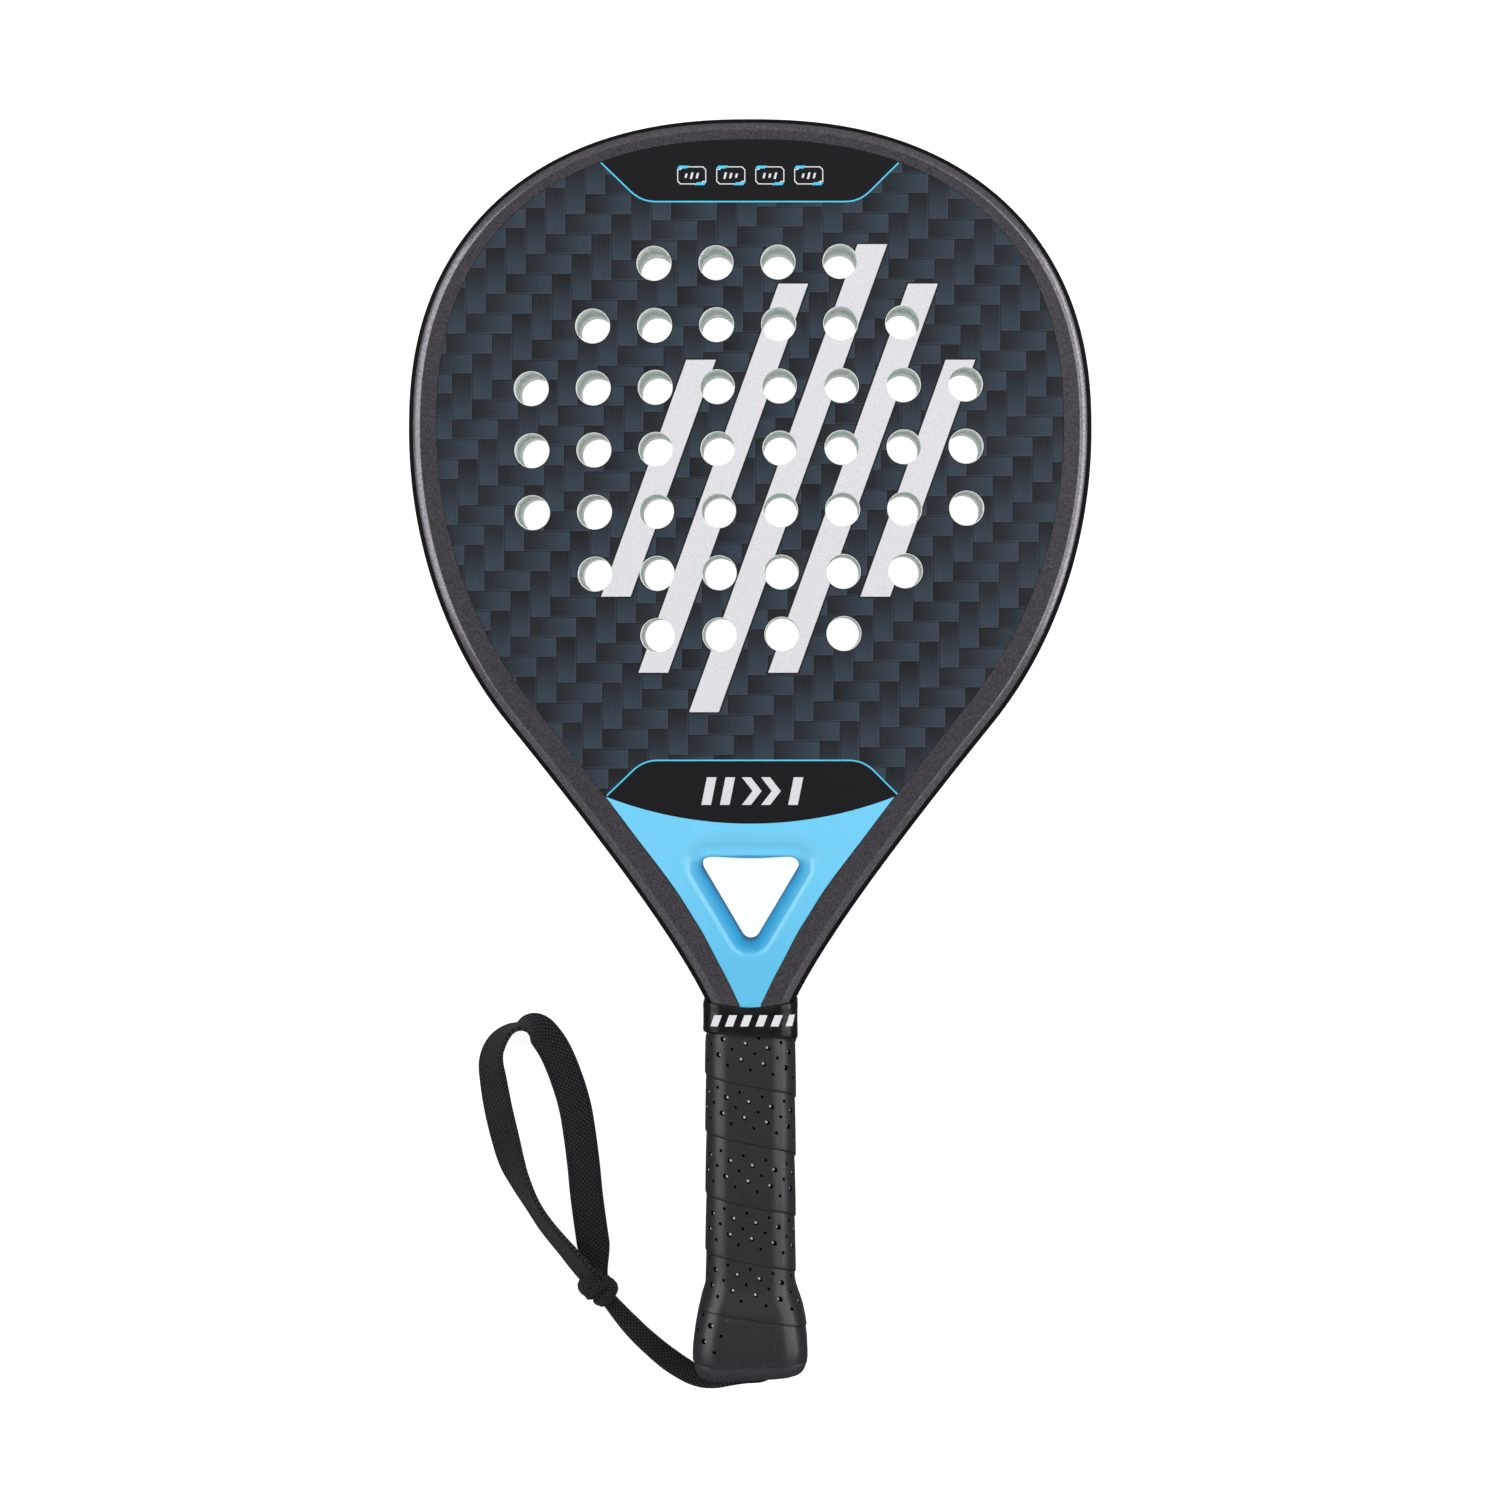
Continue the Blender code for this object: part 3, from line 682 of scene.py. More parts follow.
def smooth_line(points, steps):
    """A Catmull-Rom curve through the points, with that many steps between each two."""
    padded = [points[0], *points, points[-1]]
    line = []
    for a, b, c, d in zip(padded, padded[1:], padded[2:], padded[3:]):
        for i in range(steps):
            t = i / steps
            weights = (-t + 2 * t**2 - t**3, 2 - 5 * t**2 + 3 * t**3, t + 4 * t**2 - 3 * t**3, t**3 - t**2)
            blend = [sum(w * p[k] for w, p in zip(weights, (a, b, c, d))) / 2 for k in range(len(a))]
            line.append(tuple(blend))
    return line + [tuple(points[-1])]


def follow(value, line):
    """Reads a line of (value, result, ...) points at a value, straight from each point to the next."""
    if value <= line[0][0]:
        return line[0][1:]
    for low, high in zip(line, line[1:]):
        if value <= high[0]:
            t = (value - low[0]) / max(high[0] - low[0], 1e-9)
            return tuple(a + (b - a) * t for a, b in zip(low[1:], high[1:]))
    return line[-1][1:]


def ease(t):
    """From 0 to 1 with a soft start and end, as t goes from 0 to 1."""
    t = min(max(t, 0.0), 1.0)
    return t * t * (3 - 2 * t)


def turned(x, y, angle):
    """A point turned about the origin."""
    return x * math.cos(angle) - y * math.sin(angle), x * math.sin(angle) + y * math.cos(angle)


def partway(a, b, t):
    """The flat point a share t of the way from a to b."""
    return a[0] + (b[0] - a[0]) * t, a[1] + (b[1] - a[1]) * t


# ---------------------------------------------------------------- wrist lace
# Routes that end inside the knot: X, Y, Z and the tilt of the flat lace in degrees.
STEM_ROUTE = (
    (6.0, 5.8, 10.8, 0), (6.0, 1.8, 10.8, 0), (4.0, -0.9, 10.2, 50), (-1.6, -2.1, 8.6, 75),
    (-8.0, -3.1, 6.4, 62), (-14.0, -3.5, 4.6, 30), (-20.6, -2.5, 3.8, 8), (-29.6, 2.8, 3.3, 0),
    (-38.5, 10.2, 3.3, 0), (-45.0, 16.8, 3.5, 0), (-50.8, 23.6, 4.0, 0), (-54.0, 27.6, 5.0, 0),
)
LOOP_ROUTE = (
    (-54.8, 31.0, 4.6, 12), (-56.2, 37.5, 3.4, 10), (-57.4, 44.0, 2.5, 8), (-58.5, 51.3, 2.2, 8),
    (-60.0, 62.4, 2.1, 8), (-61.1, 73.5, 2.1, 8), (-62.5, 84.6, 2.2, 9), (-64.4, 95.7, 2.6, 11),
    (-67.8, 106.8, 3.2, 14), (-71.5, 115.6, 4.2, 17), (-75.4, 121.6, 5.4, 26),
    (-78.2, 124.2, 6.2, 42), (-81.2, 125.2, 7.0, 64), (-84.6, 124.6, 7.6, 86),
    (-88.0, 122.9, 7.4, 76), (-91.4, 119.6, 6.8, 60), (-93.6, 115.8, 6.4, 50),
    (-94.4, 110.9, 6.0, 40), (-93.7, 104.9, 5.6, 33), (-92.0, 94.8, 5.2, 29),
    (-89.6, 84.6, 5.2, 29), (-87.0, 75.4, 5.8, 36), (-83.8, 68.0, 6.6, 50), (-79.3, 59.7, 7.2, 61),
    (-74.0, 51.8, 7.6, 60), (-65.7, 42.1, 8.2, 56), (-60.6, 35.9, 8.0, 50), (-57.0, 31.6, 6.8, 44),
)
KNOT_CENTRE = (-55.7, 29.6, 5.5)
KNOT_HALF = (5.4, 7.4, 5.0)
KNOT_LEAN = math.radians(42)
# The knot's three wraps: tilt, turn, shift and width.
WRAPS = ((-0.2, 0.2, -4.0, 4.8), (0.2, -0.22, -0.1, 5.0), (-0.1, 0.16, 4.2, 5.2))
WRAP_SECTION = ((-1, 0), (-0.85, 0.75), (-0.4, 1), (0.4, 1), (0.85, 0.75), (1, 0), (0.6, -0.8), (-0.6, -0.8))
WRAP_REACH = 0.86  # the share of the knot's halves at which the wraps lie
WRAP_HALF_THICKNESS = 1.15
LACE_LOW = 0.15  # the lowest that the knot comes
# How far along the stem, and its width and height there.
STEM_SECTIONS = (
    (0.0, 5.8, 4.6), (0.2, 6.4, 4.4), (0.36, 8.4, 4.2), (0.55, 9.0, 4.2), (0.8, 7.8, 4.4),
    (1.0, 5.4, 4.6),
)
# How far along the loop, and the share of its width that it has there: it is gathered at the knot.
GATHERED = ((0.0, 0.5), (0.07, 1.0), (0.94, 1.0), (1.0, 0.8))


def line_length(points):
    return sum((Vector(b[:3]) - Vector(a[:3])).length for a, b in zip(points, points[1:]))


def cord_axes(line, i):
    """The directions across a cord and out of its flat side at a point of its line."""
    before, after = line[max(i - 1, 0)], line[min(i + 1, len(line) - 1)]
    along = (Vector(after[:3]) - Vector(before[:3])).normalized()
    level = Vector((along.y, -along.x, 0)).normalized()
    tilt = math.radians(line[i][3])
    wide = level * math.cos(tilt) - level.cross(along) * math.sin(tilt)
    return wide, along.cross(wide)


def cord_rings(line, section):
    """Rings along a line. section gives, for how far along it is, points across, out and round the cord."""
    rings = []
    total = line_length(line)
    done = 0.0
    for i, spot in enumerate(line):
        if i:
            done += (Vector(spot[:3]) - Vector(line[i - 1][:3])).length
        wide, out = cord_axes(line, i)
        ring = []
        for u, v, around in section(done / total):
            point = Vector(spot[:3]) + wide * u + out * v
            ring.append((*point, done, around))
        rings.append(ring)
    return rings


def stem_section(t):
    """Two flat laces lying on each other: an oval with a waist along each side."""
    width, height = follow(t, STEM_SECTIONS)
    ring = []
    for i in range(32):
        angle = 2 * math.pi * i / 32
        waist = 1 - 0.16 * max(0.0, math.cos(angle * 2)) ** 4 * (abs(math.cos(angle)) > 0.5)
        u = width / 2 * math.copysign(abs(math.cos(angle)) ** 0.8, math.cos(angle)) * waist
        v = height / 2 * math.copysign(abs(math.sin(angle)) ** 0.75, math.sin(angle))
        ring.append((u, v, u * 1.1))
    return ring


def flat_section(t):
    """A flat braid: round edges, with a shallow channel beside each edge."""
    ring = []
    sides = (1.0, 0.97, 0.9, 0.8, 0.65, 0.4, 0.15)
    heights = (0.0, 0.62, 0.95, 1.0, 0.9, 0.86, 0.9)
    top = [(u, v) for u, v in zip(sides, heights)]
    top += [(-u, v) for u, v in reversed(top)]
    half = LACE_WIDTH / 2 * between(t, GATHERED)
    for u, v in top + [(u, -v) for u, v in reversed(top[1:-1])]:
        ring.append((u * half, v * LACE_THICKNESS / 2, u * half))
    return ring


def braid_piece(name, node, route, section, look):
    """A braid in place of a node: its object, and in metres the points that it follows and its length."""
    line = smooth_line(route, 6)
    mesh = skin_mesh(name, cord_rings(line, section))
    made = finish_piece(name, mesh, look, [node], sharp=70)
    return made, [place(*spot[:3]) for spot in line], line_length(line) * MM


def build_stem(look, knot_pieces):
    stem, path, length = braid_piece("lace_stem_braid", "lace_stem", STEM_ROUTE, stem_section, look)


def build_loop(look):
    loop, path, length = braid_piece("lace_loop_braid", "lace_loop", LOOP_ROUTE, flat_section, look)


def knot_point(x, y, z):
    """A point of the knot, from its own axes to the racket's."""
    return tuple(t + c for t, c in zip((*turned(x, y, KNOT_LEAN), z), KNOT_CENTRE))


def wrap_rings(tilt, turn, shift, width, steps=72):
    """A flat lace wound once round the knot: tilted about X, turned about Z and shifted along Y."""
    across = Vector((0, math.cos(tilt), -math.sin(tilt)))
    rings = []
    for i in range(steps):
        angle = 2 * math.pi * i / steps
        cosine, sine = math.cos(angle), math.sin(angle)
        spot = Vector((cosine, sine * math.sin(tilt), sine * math.cos(tilt)))
        ring = []
        for u, v in WRAP_SECTION:
            side = shift + u * width / 2
            swell = max(0.1, 1 - abs(side / KNOT_HALF[1]) ** 3) ** 0.4
            point = Vector([s * half for s, half in zip(spot, KNOT_HALF)]) * WRAP_REACH * swell
            point += across * side + spot * v * WRAP_HALF_THICKNESS
            x, y, z = knot_point(*turned(point.x, point.y, turn), point.z)
            ring.append((x, y, max(z, LACE_LOW), angle * 7, u * width / 2))
        rings.append(ring)
    return rings


def build_knot(look):
    """An overhand knot: a core with three wraps of flattened lace lying over it."""
    shape = bmesh.new()
    bmesh.ops.create_icosphere(shape, subdivisions=4, radius=1)
    mesh = bpy.data.meshes.new("lace_knot_core")
    points = []
    for vertex in shape.verts:
        x, y, z = (c * h * 0.8 for c, h in zip(vertex.co, KNOT_HALF))
        points.append((x + y * 0.4, y))
        vertex.co = place(*knot_point(x, y, z))
    shape.to_mesh(mesh)
    shape.free()
    keep_local(mesh, points)
    pieces = [finish_piece("lace_knot_core", mesh, look, ["lace_knot"], sharp=70)]
    for number, wrap in enumerate(WRAPS, 1):
        mesh = skin_mesh(f"lace_knot_wrap_{number}", wrap_rings(*wrap), cyclic=True)
        pieces.append(finish_piece(f"lace_knot_wrap_{number}", mesh, look, sharp=70))
    return pieces


def build_lace():
    look = lace_weave()
    build_stem(look, build_knot(look))
    build_loop(look)


# ---------------------------------------------------------------- outline of the hoop
def half_outline():
    """The hoop's outer edge on the +X side, from the crown down the throat to the end of the leg."""
    crown = LENGTH - WIDEST_Y
    points = []
    for i in range(64):
        angle = math.pi / 2 * i / 64
        x = HALF_WIDTH * math.sin(angle) ** (2 / CROWN_POWER)
        points.append((x, WIDEST_Y + crown * math.cos(angle) ** (2 / CROWN_POWER)))
    for i in range(36):
        angle = LOWER_ANGLE * i / 36
        points.append((HALF_WIDTH * math.cos(angle), WIDEST_Y - LOWER_REACH * math.sin(angle)))
    x, y = HALF_WIDTH * math.cos(LOWER_ANGLE), WIDEST_Y - LOWER_REACH * math.sin(LOWER_ANGLE)
    start, end = Vector((x, y, 0)), Vector((*THROAT_END, 0))
    down = Vector((-HALF_WIDTH * math.tan(LOWER_ANGLE), -LOWER_REACH, 0)).normalized()
    up = Vector((THROAT_END_LEAN, 1, 0)).normalized()
    handles = start + down * THROAT_HANDLES[0], end + up * THROAT_HANDLES[1]
    points += [(p.x, p.y) for p in interpolate_bezier(start, *handles, end, 44)]
    reach = THROAT_END[0] - LEG_HALF[0]
    points.append((LEG_HALF[0], THROAT_END[1] - reach / THROAT_END_LEAN))
    points += [(LEG_HALF[0], y) for y in (129.0, 127.0, 123.0, 70.0, LEG_END_Y)]
    return points


def inward(points, i):
    """The unit normal into the hoop at a point of the half outline."""
    if i == 0:
        return Vector((0, -1))
    before, after = Vector(points[i - 1]), Vector(points[min(i + 1, len(points) - 1)])
    along = (after - before).normalized()
    return Vector((along.y, -along.x))


def inner_edge(gap):
    """The hoop's inner edge on the +X side, moved inward by gap."""
    points = half_outline()
    edge = []
    for i, point in enumerate(points):
        moved = Vector(point) + inward(points, i) * (between(point[1], BAND_STOPS) + gap)
        edge.append((moved.x, moved.y))
    return edge


def mirrored(points):
    """The outline closed by its mirror image across the racket's centreline."""
    return points + [(-x, y) for x, y in reversed(points) if x > 0.001]


def arc_height(x, radius):
    """Y of the faces' lower edge, an arc that is lowest on the centreline."""
    return FACE_EDGE_LOW_Y + FACE_EDGE_RADIUS - math.sqrt(radius**2 - x**2)


def edge_crossing(edge, radius):
    """Where the inner edge meets the arc at the faces' lower end, and the index of the next edge point."""
    for i, (high, low) in enumerate(zip(edge, edge[1:])):
        if low[1] < arc_height(min(low[0], radius), radius):
            a, b = 0.0, 1.0
            for _ in range(30):
                t = (a + b) / 2
                x, y = partway(high, low, t)
                a, b = (t, b) if y > arc_height(x, radius) else (a, t)
            return (x, y), i + 1
    return edge[-1], len(edge)


def arc_points(from_x, radius, count=40):
    """The right half of the arc, from from_x to the centreline."""
    xs = [from_x * (1 - i / count) for i in range(1, count + 1)]
    return [(x, arc_height(x, radius)) for x in xs]


def face_outline(gap=SEAM):
    edge = inner_edge(gap)
    crossing, cut_at = edge_crossing(edge, FACE_EDGE_RADIUS - gap)
    return mirrored(edge[:cut_at] + [crossing] + arc_points(crossing[0], FACE_EDGE_RADIUS - gap))


def yoke_outline(gap=SEAM):
    edge = inner_edge(gap)
    crossing, cut_at = edge_crossing(edge, FACE_EDGE_RADIUS + gap)
    arc = arc_points(crossing[0], FACE_EDGE_RADIUS + gap)
    bottom = COLLAR_Y[1] - 4.5  # hidden under the collar
    side = [p for p in edge[cut_at:] if p[1] > bottom]
    tail = (min(x for x, _ in side), bottom)
    return mirrored(arc[::-1] + [crossing] + side + [tail])


def hole_centres():
    centres = []
    for row, count in enumerate(HOLE_ROWS):
        for column in range(count):
            x = (column - (count - 1) / 2) * HOLE_PITCH
            y = ((len(HOLE_ROWS) - 1) / 2 - row) * HOLE_PITCH
            x, y = turned(x, y, GRID_TURN)
            centres.append((GRID_CENTRE[0] + x, GRID_CENTRE[1] + y))
    return centres


def circle(centre, radius, sides=HOLE_SIDES):
    turns = [2 * math.pi * i / sides for i in range(sides)]
    return [(centre[0] + radius * math.cos(a), centre[1] + radius * math.sin(a)) for a in turns]


# ---------------------------------------------------------------- hoop
# The hoop's section from its side to its flat top: inset from the outer edge and drop from the top.
EDGE_SECTION = (
    (0.0, 10.0), (0.0, 4.6), (0.06, 4.1), (0.4, 3.85), (0.55, 3.4), (0.95, 2.4), (1.35, 1.75),
    (1.7, 1.38), (2.4, 0.9), (3.0, 0.55), (3.6, 0.26), (3.9, 0.14), (4.1, 0.07), (4.35, 0.02),
    (4.6, 0.0), (5.2, 0.0),
)
LIP_SECTION = ((1.5, 0.0), (0.15, 0.0), (0.04, 0.03), (0.0, 0.2))  # from the inner edge


def hoop_profile(band, half):
    """Half of the hoop's section, from its side over the top to its inner wall, as inset and height."""
    profile = [(0.0, 0.0)]
    profile += [(u, half - drop) for u, drop in smooth_line(EDGE_SECTION, 3)]
    profile += [(band - u, half - drop) for u, drop in smooth_line(LIP_SECTION, 3)]
    return profile + [(band, 0.0)]


def build_hoop():
    points = half_outline()
    sections = []
    for i, point in enumerate(points):
        normal = inward(points, i)
        band, half = between(point[1], BAND_STOPS), between(point[1], HALF_THICKNESS_STOPS)
        top = hoop_profile(band, half)
        profile = top + [(u, -z) for u, z in reversed(top[1:-1])]
        ring = [(point[0] + normal.x * u, point[1] + normal.y * u, MID_Z + z, u) for u, z in profile]
        sections.append(ring)
    other = [[(-x, y, z, u) for x, y, z, u in section] for section in sections[1:]]
    mesh = skin_mesh("hoop_shell", sections[::-1] + other)
    finish_piece("hoop_shell", mesh, frame_paint(), ["frame_tube"], sharp=30)


# ---------------------------------------------------------------- faces, core and the rims of the holes
def build_faces():
    outline = face_outline()
    holes = [circle(centre, HOLE_RADIUS) for centre in hole_centres()]
    look = woven_face()
    front = plate_mesh("front_skin", [outline, *holes], THICKNESS - SKIN_THICKNESS, SKIN_TOP)
    finish_piece("front_skin", front, look, ["front_face"])
    finish_piece("back_skin", sunk(front, "back_skin"), look, ["back_face"])
    low = SKIN_THICKNESS + CORE_GAP
    core = plate_mesh("core_block", [face_outline(CORE_INSET), *holes], low, THICKNESS - low)
    finish_piece("core_block", core, core_foam(), ["foam_core"])


def join_meshes(name, meshes):
    shape = bmesh.new()
    for mesh in meshes:
        shape.from_mesh(mesh)
    joined = bpy.data.meshes.new(name)
    shape.to_mesh(joined)
    shape.free()
    return joined


def finish_both(name, parts, look, other_side):
    """Parts joined into one piece of the front, and the same piece for the back."""
    mesh = join_meshes("front_" + name, parts)
    finish_piece("front_" + name, mesh, look)
    finish_piece("back_" + name, other_side(mesh, "back_" + name), look)


# The pale rim's section: radius and Z.
RIM_SECTION = ((6.22, 34.6), (6.1, 34.62), (5.98, 34.9), (5.94, 35.4), (6.0, 35.8), (6.22, 35.96))
HOLE_LINE_WIDTH = 0.4
HOLE_LINE_RISE = 0.02


def build_rims():
    """A pale cut edge inside each hole and a thin dark line on the paint round it."""
    rims, lines = [], []
    for centre in hole_centres():
        rings = [[(x, y, z) for x, y in circle(centre, radius)] for radius, z in RIM_SECTION]
        rims.append(skin_mesh("rim", rings, cyclic=True))
        line = [circle(centre, HOLE_RADIUS + HOLE_LINE_WIDTH), circle(centre, HOLE_RADIUS)]
        lines.append(plate_mesh("line", line, SKIN_TOP, SKIN_TOP + HOLE_LINE_RISE))
    finish_both("hole_rims", rims, rim_paint(), sunk)
    finish_both("hole_outlines", lines, outline_ink(), sunk)


# ---------------------------------------------------------------- printed shapes
def bent(points, radius, steps=8):
    """The open line with its inner corners rounded."""
    line = [points[0]]
    for before, corner, after in zip(points, points[1:], points[2:]):
        corner_point = Vector(corner)
        start = corner_point + (Vector(before) - corner_point).normalized() * radius
        end = corner_point + (Vector(after) - corner_point).normalized() * radius
        for i in range(steps + 1):
            t = i / steps
            point = start * (1 - t) ** 2 + corner_point * 2 * t * (1 - t) + end * t**2
            line.append(tuple(point))
    return line + [points[-1]]


def stroke(line, width):
    """The outline of a line drawn with that width."""
    sides = ([], [])
    for i, point in enumerate(line):
        before, after = Vector(line[max(i - 1, 0)]), Vector(line[min(i + 1, len(line) - 1)])
        along = (after - before).normalized()
        normal = Vector((-along.y, along.x)) * width / 2
        sides[0].append(tuple(Vector(point) + normal))
        sides[1].append(tuple(Vector(point) - normal))
    return sides[0] + sides[1][::-1]


def slanted(centre, width, height, slant):
    """A parallelogram leaning right by slant millimetres for each one of height."""
    x, y = centre
    lean = slant * height / 2
    left, right = x - width / 2, x + width / 2
    low, high = y - height / 2, y + height / 2
    return [(left - lean, low), (right - lean, low), (right + lean, high), (left + lean, high)]


def chevron(centre, width, height, weight):
    """A thick arrowhead without a shaft, pointing right."""
    x, y = centre
    left, right, half = x - width / 2, x + width / 2, height / 2
    return [
        (left, y + half), (left + weight, y + half), (right, y), (left + weight, y - half),
        (left, y - half), (right - weight, y),
    ]


def grown(outline, by):
    """A convex outline moved outward by that much, its corners kept."""
    count = len(outline)
    lines = []
    for i in range(count):
        a, b = Vector(outline[i]), Vector(outline[(i + 1) % count])
        along = (b - a).normalized()
        normal = Vector((along.y, -along.x))
        lines.append((a + normal * by, along))
    corners = []
    for (p, d), (q, e) in zip(lines[-1:] + lines[:-1], lines):
        t = ((q.x - p.x) * e.y - (q.y - p.y) * e.x) / (d.x * e.y - d.y * e.x)
        corners.append(tuple(p + d * t))
    return corners


TOP_LINE = ((-52.9, 433.9), (-38.6, 420.1), (38.8, 420.1), (52.7, 433.9))
BOTTOM_LINE = ((-50.8, 209.4), (-37.8, 221.9), (40.2, 221.9), (52.2, 209.9))
LINE_BEND = 5.2
LINE_WIDTH = 0.52
PANEL_ENDS = (208.9, 434.2)  # outside these Y the panels follow the faces' outline


def build_panels(panel, line_look):
    """Dark panels at both ends of the face, each ended by a thin bright line."""
    outline = face_outline(SEAM + 0.05)
    top, bottom = bent(TOP_LINE, LINE_BEND), bent(BOTTOM_LINE, LINE_BEND)
    crown = sorted((p for p in outline if p[1] > PANEL_ENDS[1]), key=lambda p: -p[0])
    foot = sorted((p for p in outline if p[1] < PANEL_ENDS[0]), key=lambda p: -p[0])
    print_layer("top_panel", [top + crown], SKIN_TOP, PRINT_TOP, panel)
    print_layer("bottom_panel", [bottom + foot], SKIN_TOP, PRINT_TOP, panel)
    for name, line in (("top_line", top), ("bottom_line", bottom)):
        print_layer(name, [stroke(line, LINE_WIDTH)], PRINT_TOP, INK_TOP, line_look)


def badge_outline(x, y, half_x, half_y, nick, step):
    """A badge with two corners cut off and two corners stepped in."""
    half = [
        (-half_x, nick - half_y), (nick - half_x, -half_y), (half_x - step * 2, -half_y),
        (half_x - step, step - half_y), (half_x, step - half_y),
    ]
    return [(x + u, y + v) for u, v in half] + [(x - u, y - v) for u, v in half]


BADGES_X = (-20.7, -6.85, 7.0, 20.8)
BADGES_Y = 429.4
TICK_HEIGHTS = (1.5, 2.3, 1.9)


def build_badges(white, accent):
    """Four small framed badges with plain block marks."""
    frames, marks, flags = [], [], []
    for number, x in enumerate(BADGES_X):
        outer = badge_outline(x, BADGES_Y, 5.15, 3.2, 1.1, 0.9)
        inner = badge_outline(x, BADGES_Y, 4.8, 2.85, 0.95, 0.9)
        frames.append(plate_mesh("badge", [outer, inner], PRINT_TOP, INK_TOP))
        for corner in (-1, 1):
            flag = slanted((x + corner * 3.1, BADGES_Y - corner * 2.95), 3.4, 1.0, 0.8)
            flags.append(plate_mesh("flag", [flag], INK_TOP - 0.04, OUTLINE_TOP))
        for k in range(3):
            tick = slanted((x - 2.0 + 2.0 * k, BADGES_Y - 0.1), 0.75, TICK_HEIGHTS[(k + number) % 3], 0.25)
            marks.append(plate_mesh("mark", [tick], PRINT_TOP, INK_TOP))
    finish_both("badge_frames", frames, white, turned_over)
    finish_both("badge_marks", marks, white, turned_over)
    finish_both("badge_flags", flags, accent, turned_over)


def build_foot_marks(silver):
    """A row of plain slanted bars and chevrons on the bottom panel."""
    y, height = 211.0, 9.8
    shapes = [slanted((x, y), 3.4, height, 0.2) for x in (-14.6, -8.0, 16.2)]
    shapes += [chevron((x, y), 7.0, height, 3.2) for x in (0.6, 7.4)]
    marks = [plate_mesh("mark", [shape], PRINT_TOP, INK_TOP) for shape in shapes]
    finish_both("foot_marks", marks, silver, turned_over)


def hole_cutter():
    rods = []
    for centre in hole_centres():
        levels = [[(x, y, z) for x, y in circle(centre, HOLE_RADIUS)] for z in (30.0, 40.0)]
        rods.append(skin_mesh("cutter", levels))
    return add_object("hole_cutter", join_meshes("hole_cutter", rods))


GRAPHIC_CENTRE = (13.5, 322.0)
GRAPHIC_BARS = (84.0, 138.0, 166.0, 138.0, 84.0)
GRAPHIC_BAR_WIDTH = 10.5
GRAPHIC_PITCH = 23.0
GRAPHIC_SLANT = 0.36
GRAPHIC_OUTLINE = 0.6


def build_graphic(silver, dark):
    """Five slanted bars of silver print, each with a thin dark outline."""
    cutter = hole_cutter()
    bars = []
    for i, height in enumerate(GRAPHIC_BARS):
        x = GRAPHIC_CENTRE[0] + (i - (len(GRAPHIC_BARS) - 1) / 2) * GRAPHIC_PITCH
        bars.append(slanted((x, GRAPHIC_CENTRE[1]), GRAPHIC_BAR_WIDTH, height, GRAPHIC_SLANT))
    outlines = [grown(bar, GRAPHIC_OUTLINE) for bar in bars]
    print_layer("bars_outline", outlines, SKIN_TOP, PRINT_TOP - 0.03, dark, cutter)
    print_layer("bars", bars, SKIN_TOP, PRINT_TOP, silver, cutter)
    bpy.data.objects.remove(cutter)


def build_prints():
    silver, accent, dark = silver_ink(), line_ink(), outline_ink()
    build_panels(panel_paint(), accent)
    build_badges(white_ink(), accent)
    build_foot_marks(silver)
    build_graphic(silver, dark)


# ---------------------------------------------------------------- throat yoke
OPENING_SLOPE = math.atan2(OPENING_HALF, OPENING_TOP_Y - OPENING_TIP_Y)


def opening_corners():
    """The centres of the throat opening's rounded corners: top right, top left and tip."""
    x = OPENING_HALF - OPENING_CORNER * math.tan(math.pi / 4 + OPENING_SLOPE / 2)
    top = OPENING_TOP_Y - OPENING_CORNER
    return (x, top), (-x, top), (0, OPENING_TIP_Y + OPENING_CORNER / math.sin(OPENING_SLOPE))


def opening_ring(growth, steps=16):
    """The throat opening's outline moved outward by growth, its top edge sagging a little."""
    radius = OPENING_CORNER + growth
    turns = (-OPENING_SLOPE, math.pi / 2, math.pi + OPENING_SLOPE, 2 * math.pi - OPENING_SLOPE)
    ring = []
    for (x, y), first, last in zip(opening_corners(), turns, turns[1:]):
        for i in range(steps + 1):
            angle = first + (last - first) * i / steps
            ring.append((x + radius * math.cos(angle), y + radius * math.sin(angle)))
        if x > 0:
            for i in range(1, 12):
                part = 1 - i / 6
                ring.append((x * part, y + radius - OPENING_SAG * (1 - part**2) ** 2))
    return ring


def spread(outline, spacing):
    """A closed outline with a point about every spacing millimetres, its own points kept."""
    points = []
    for a, b in zip(outline, outline[1:] + outline[:1]):
        steps = max(1, round(math.dist(a, b) / spacing))
        points += [partway(a, b, i / steps) for i in range(steps)]
    return points


YOKE_HEART = (0.0, 175.0)  # every point of the yoke's outline and of the opening is in sight of it


def toward(point, outline):
    """Where the line from the yoke's heart to a point crosses a closed outline."""
    cx, cy = YOKE_HEART
    dx, dy = point[0] - cx, point[1] - cy
    for (ax, ay), (bx, by) in zip(outline, outline[1:] + outline[:1]):
        ex, ey = bx - ax, by - ay
        below = dx * ey - dy * ex
        if abs(below) < 1e-9:
            continue
        t = ((ax - cx) * ey - (ay - cy) * ex) / below
        s = ((ax - cx) * dy - (ay - cy) * dx) / below
        if t > 0 and -1e-6 <= s <= 1 + 1e-6:
            return cx + dx * t, cy + dy * t
    return point


def segment_distance(p, a, b):
    ex, ey = b[0] - a[0], b[1] - a[1]
    t = ((p[0] - a[0]) * ex + (p[1] - a[1]) * ey) / (ex * ex + ey * ey)
    t = min(max(t, 0.0), 1.0)
    return math.hypot(p[0] - a[0] - ex * t, p[1] - a[1] - ey * t)


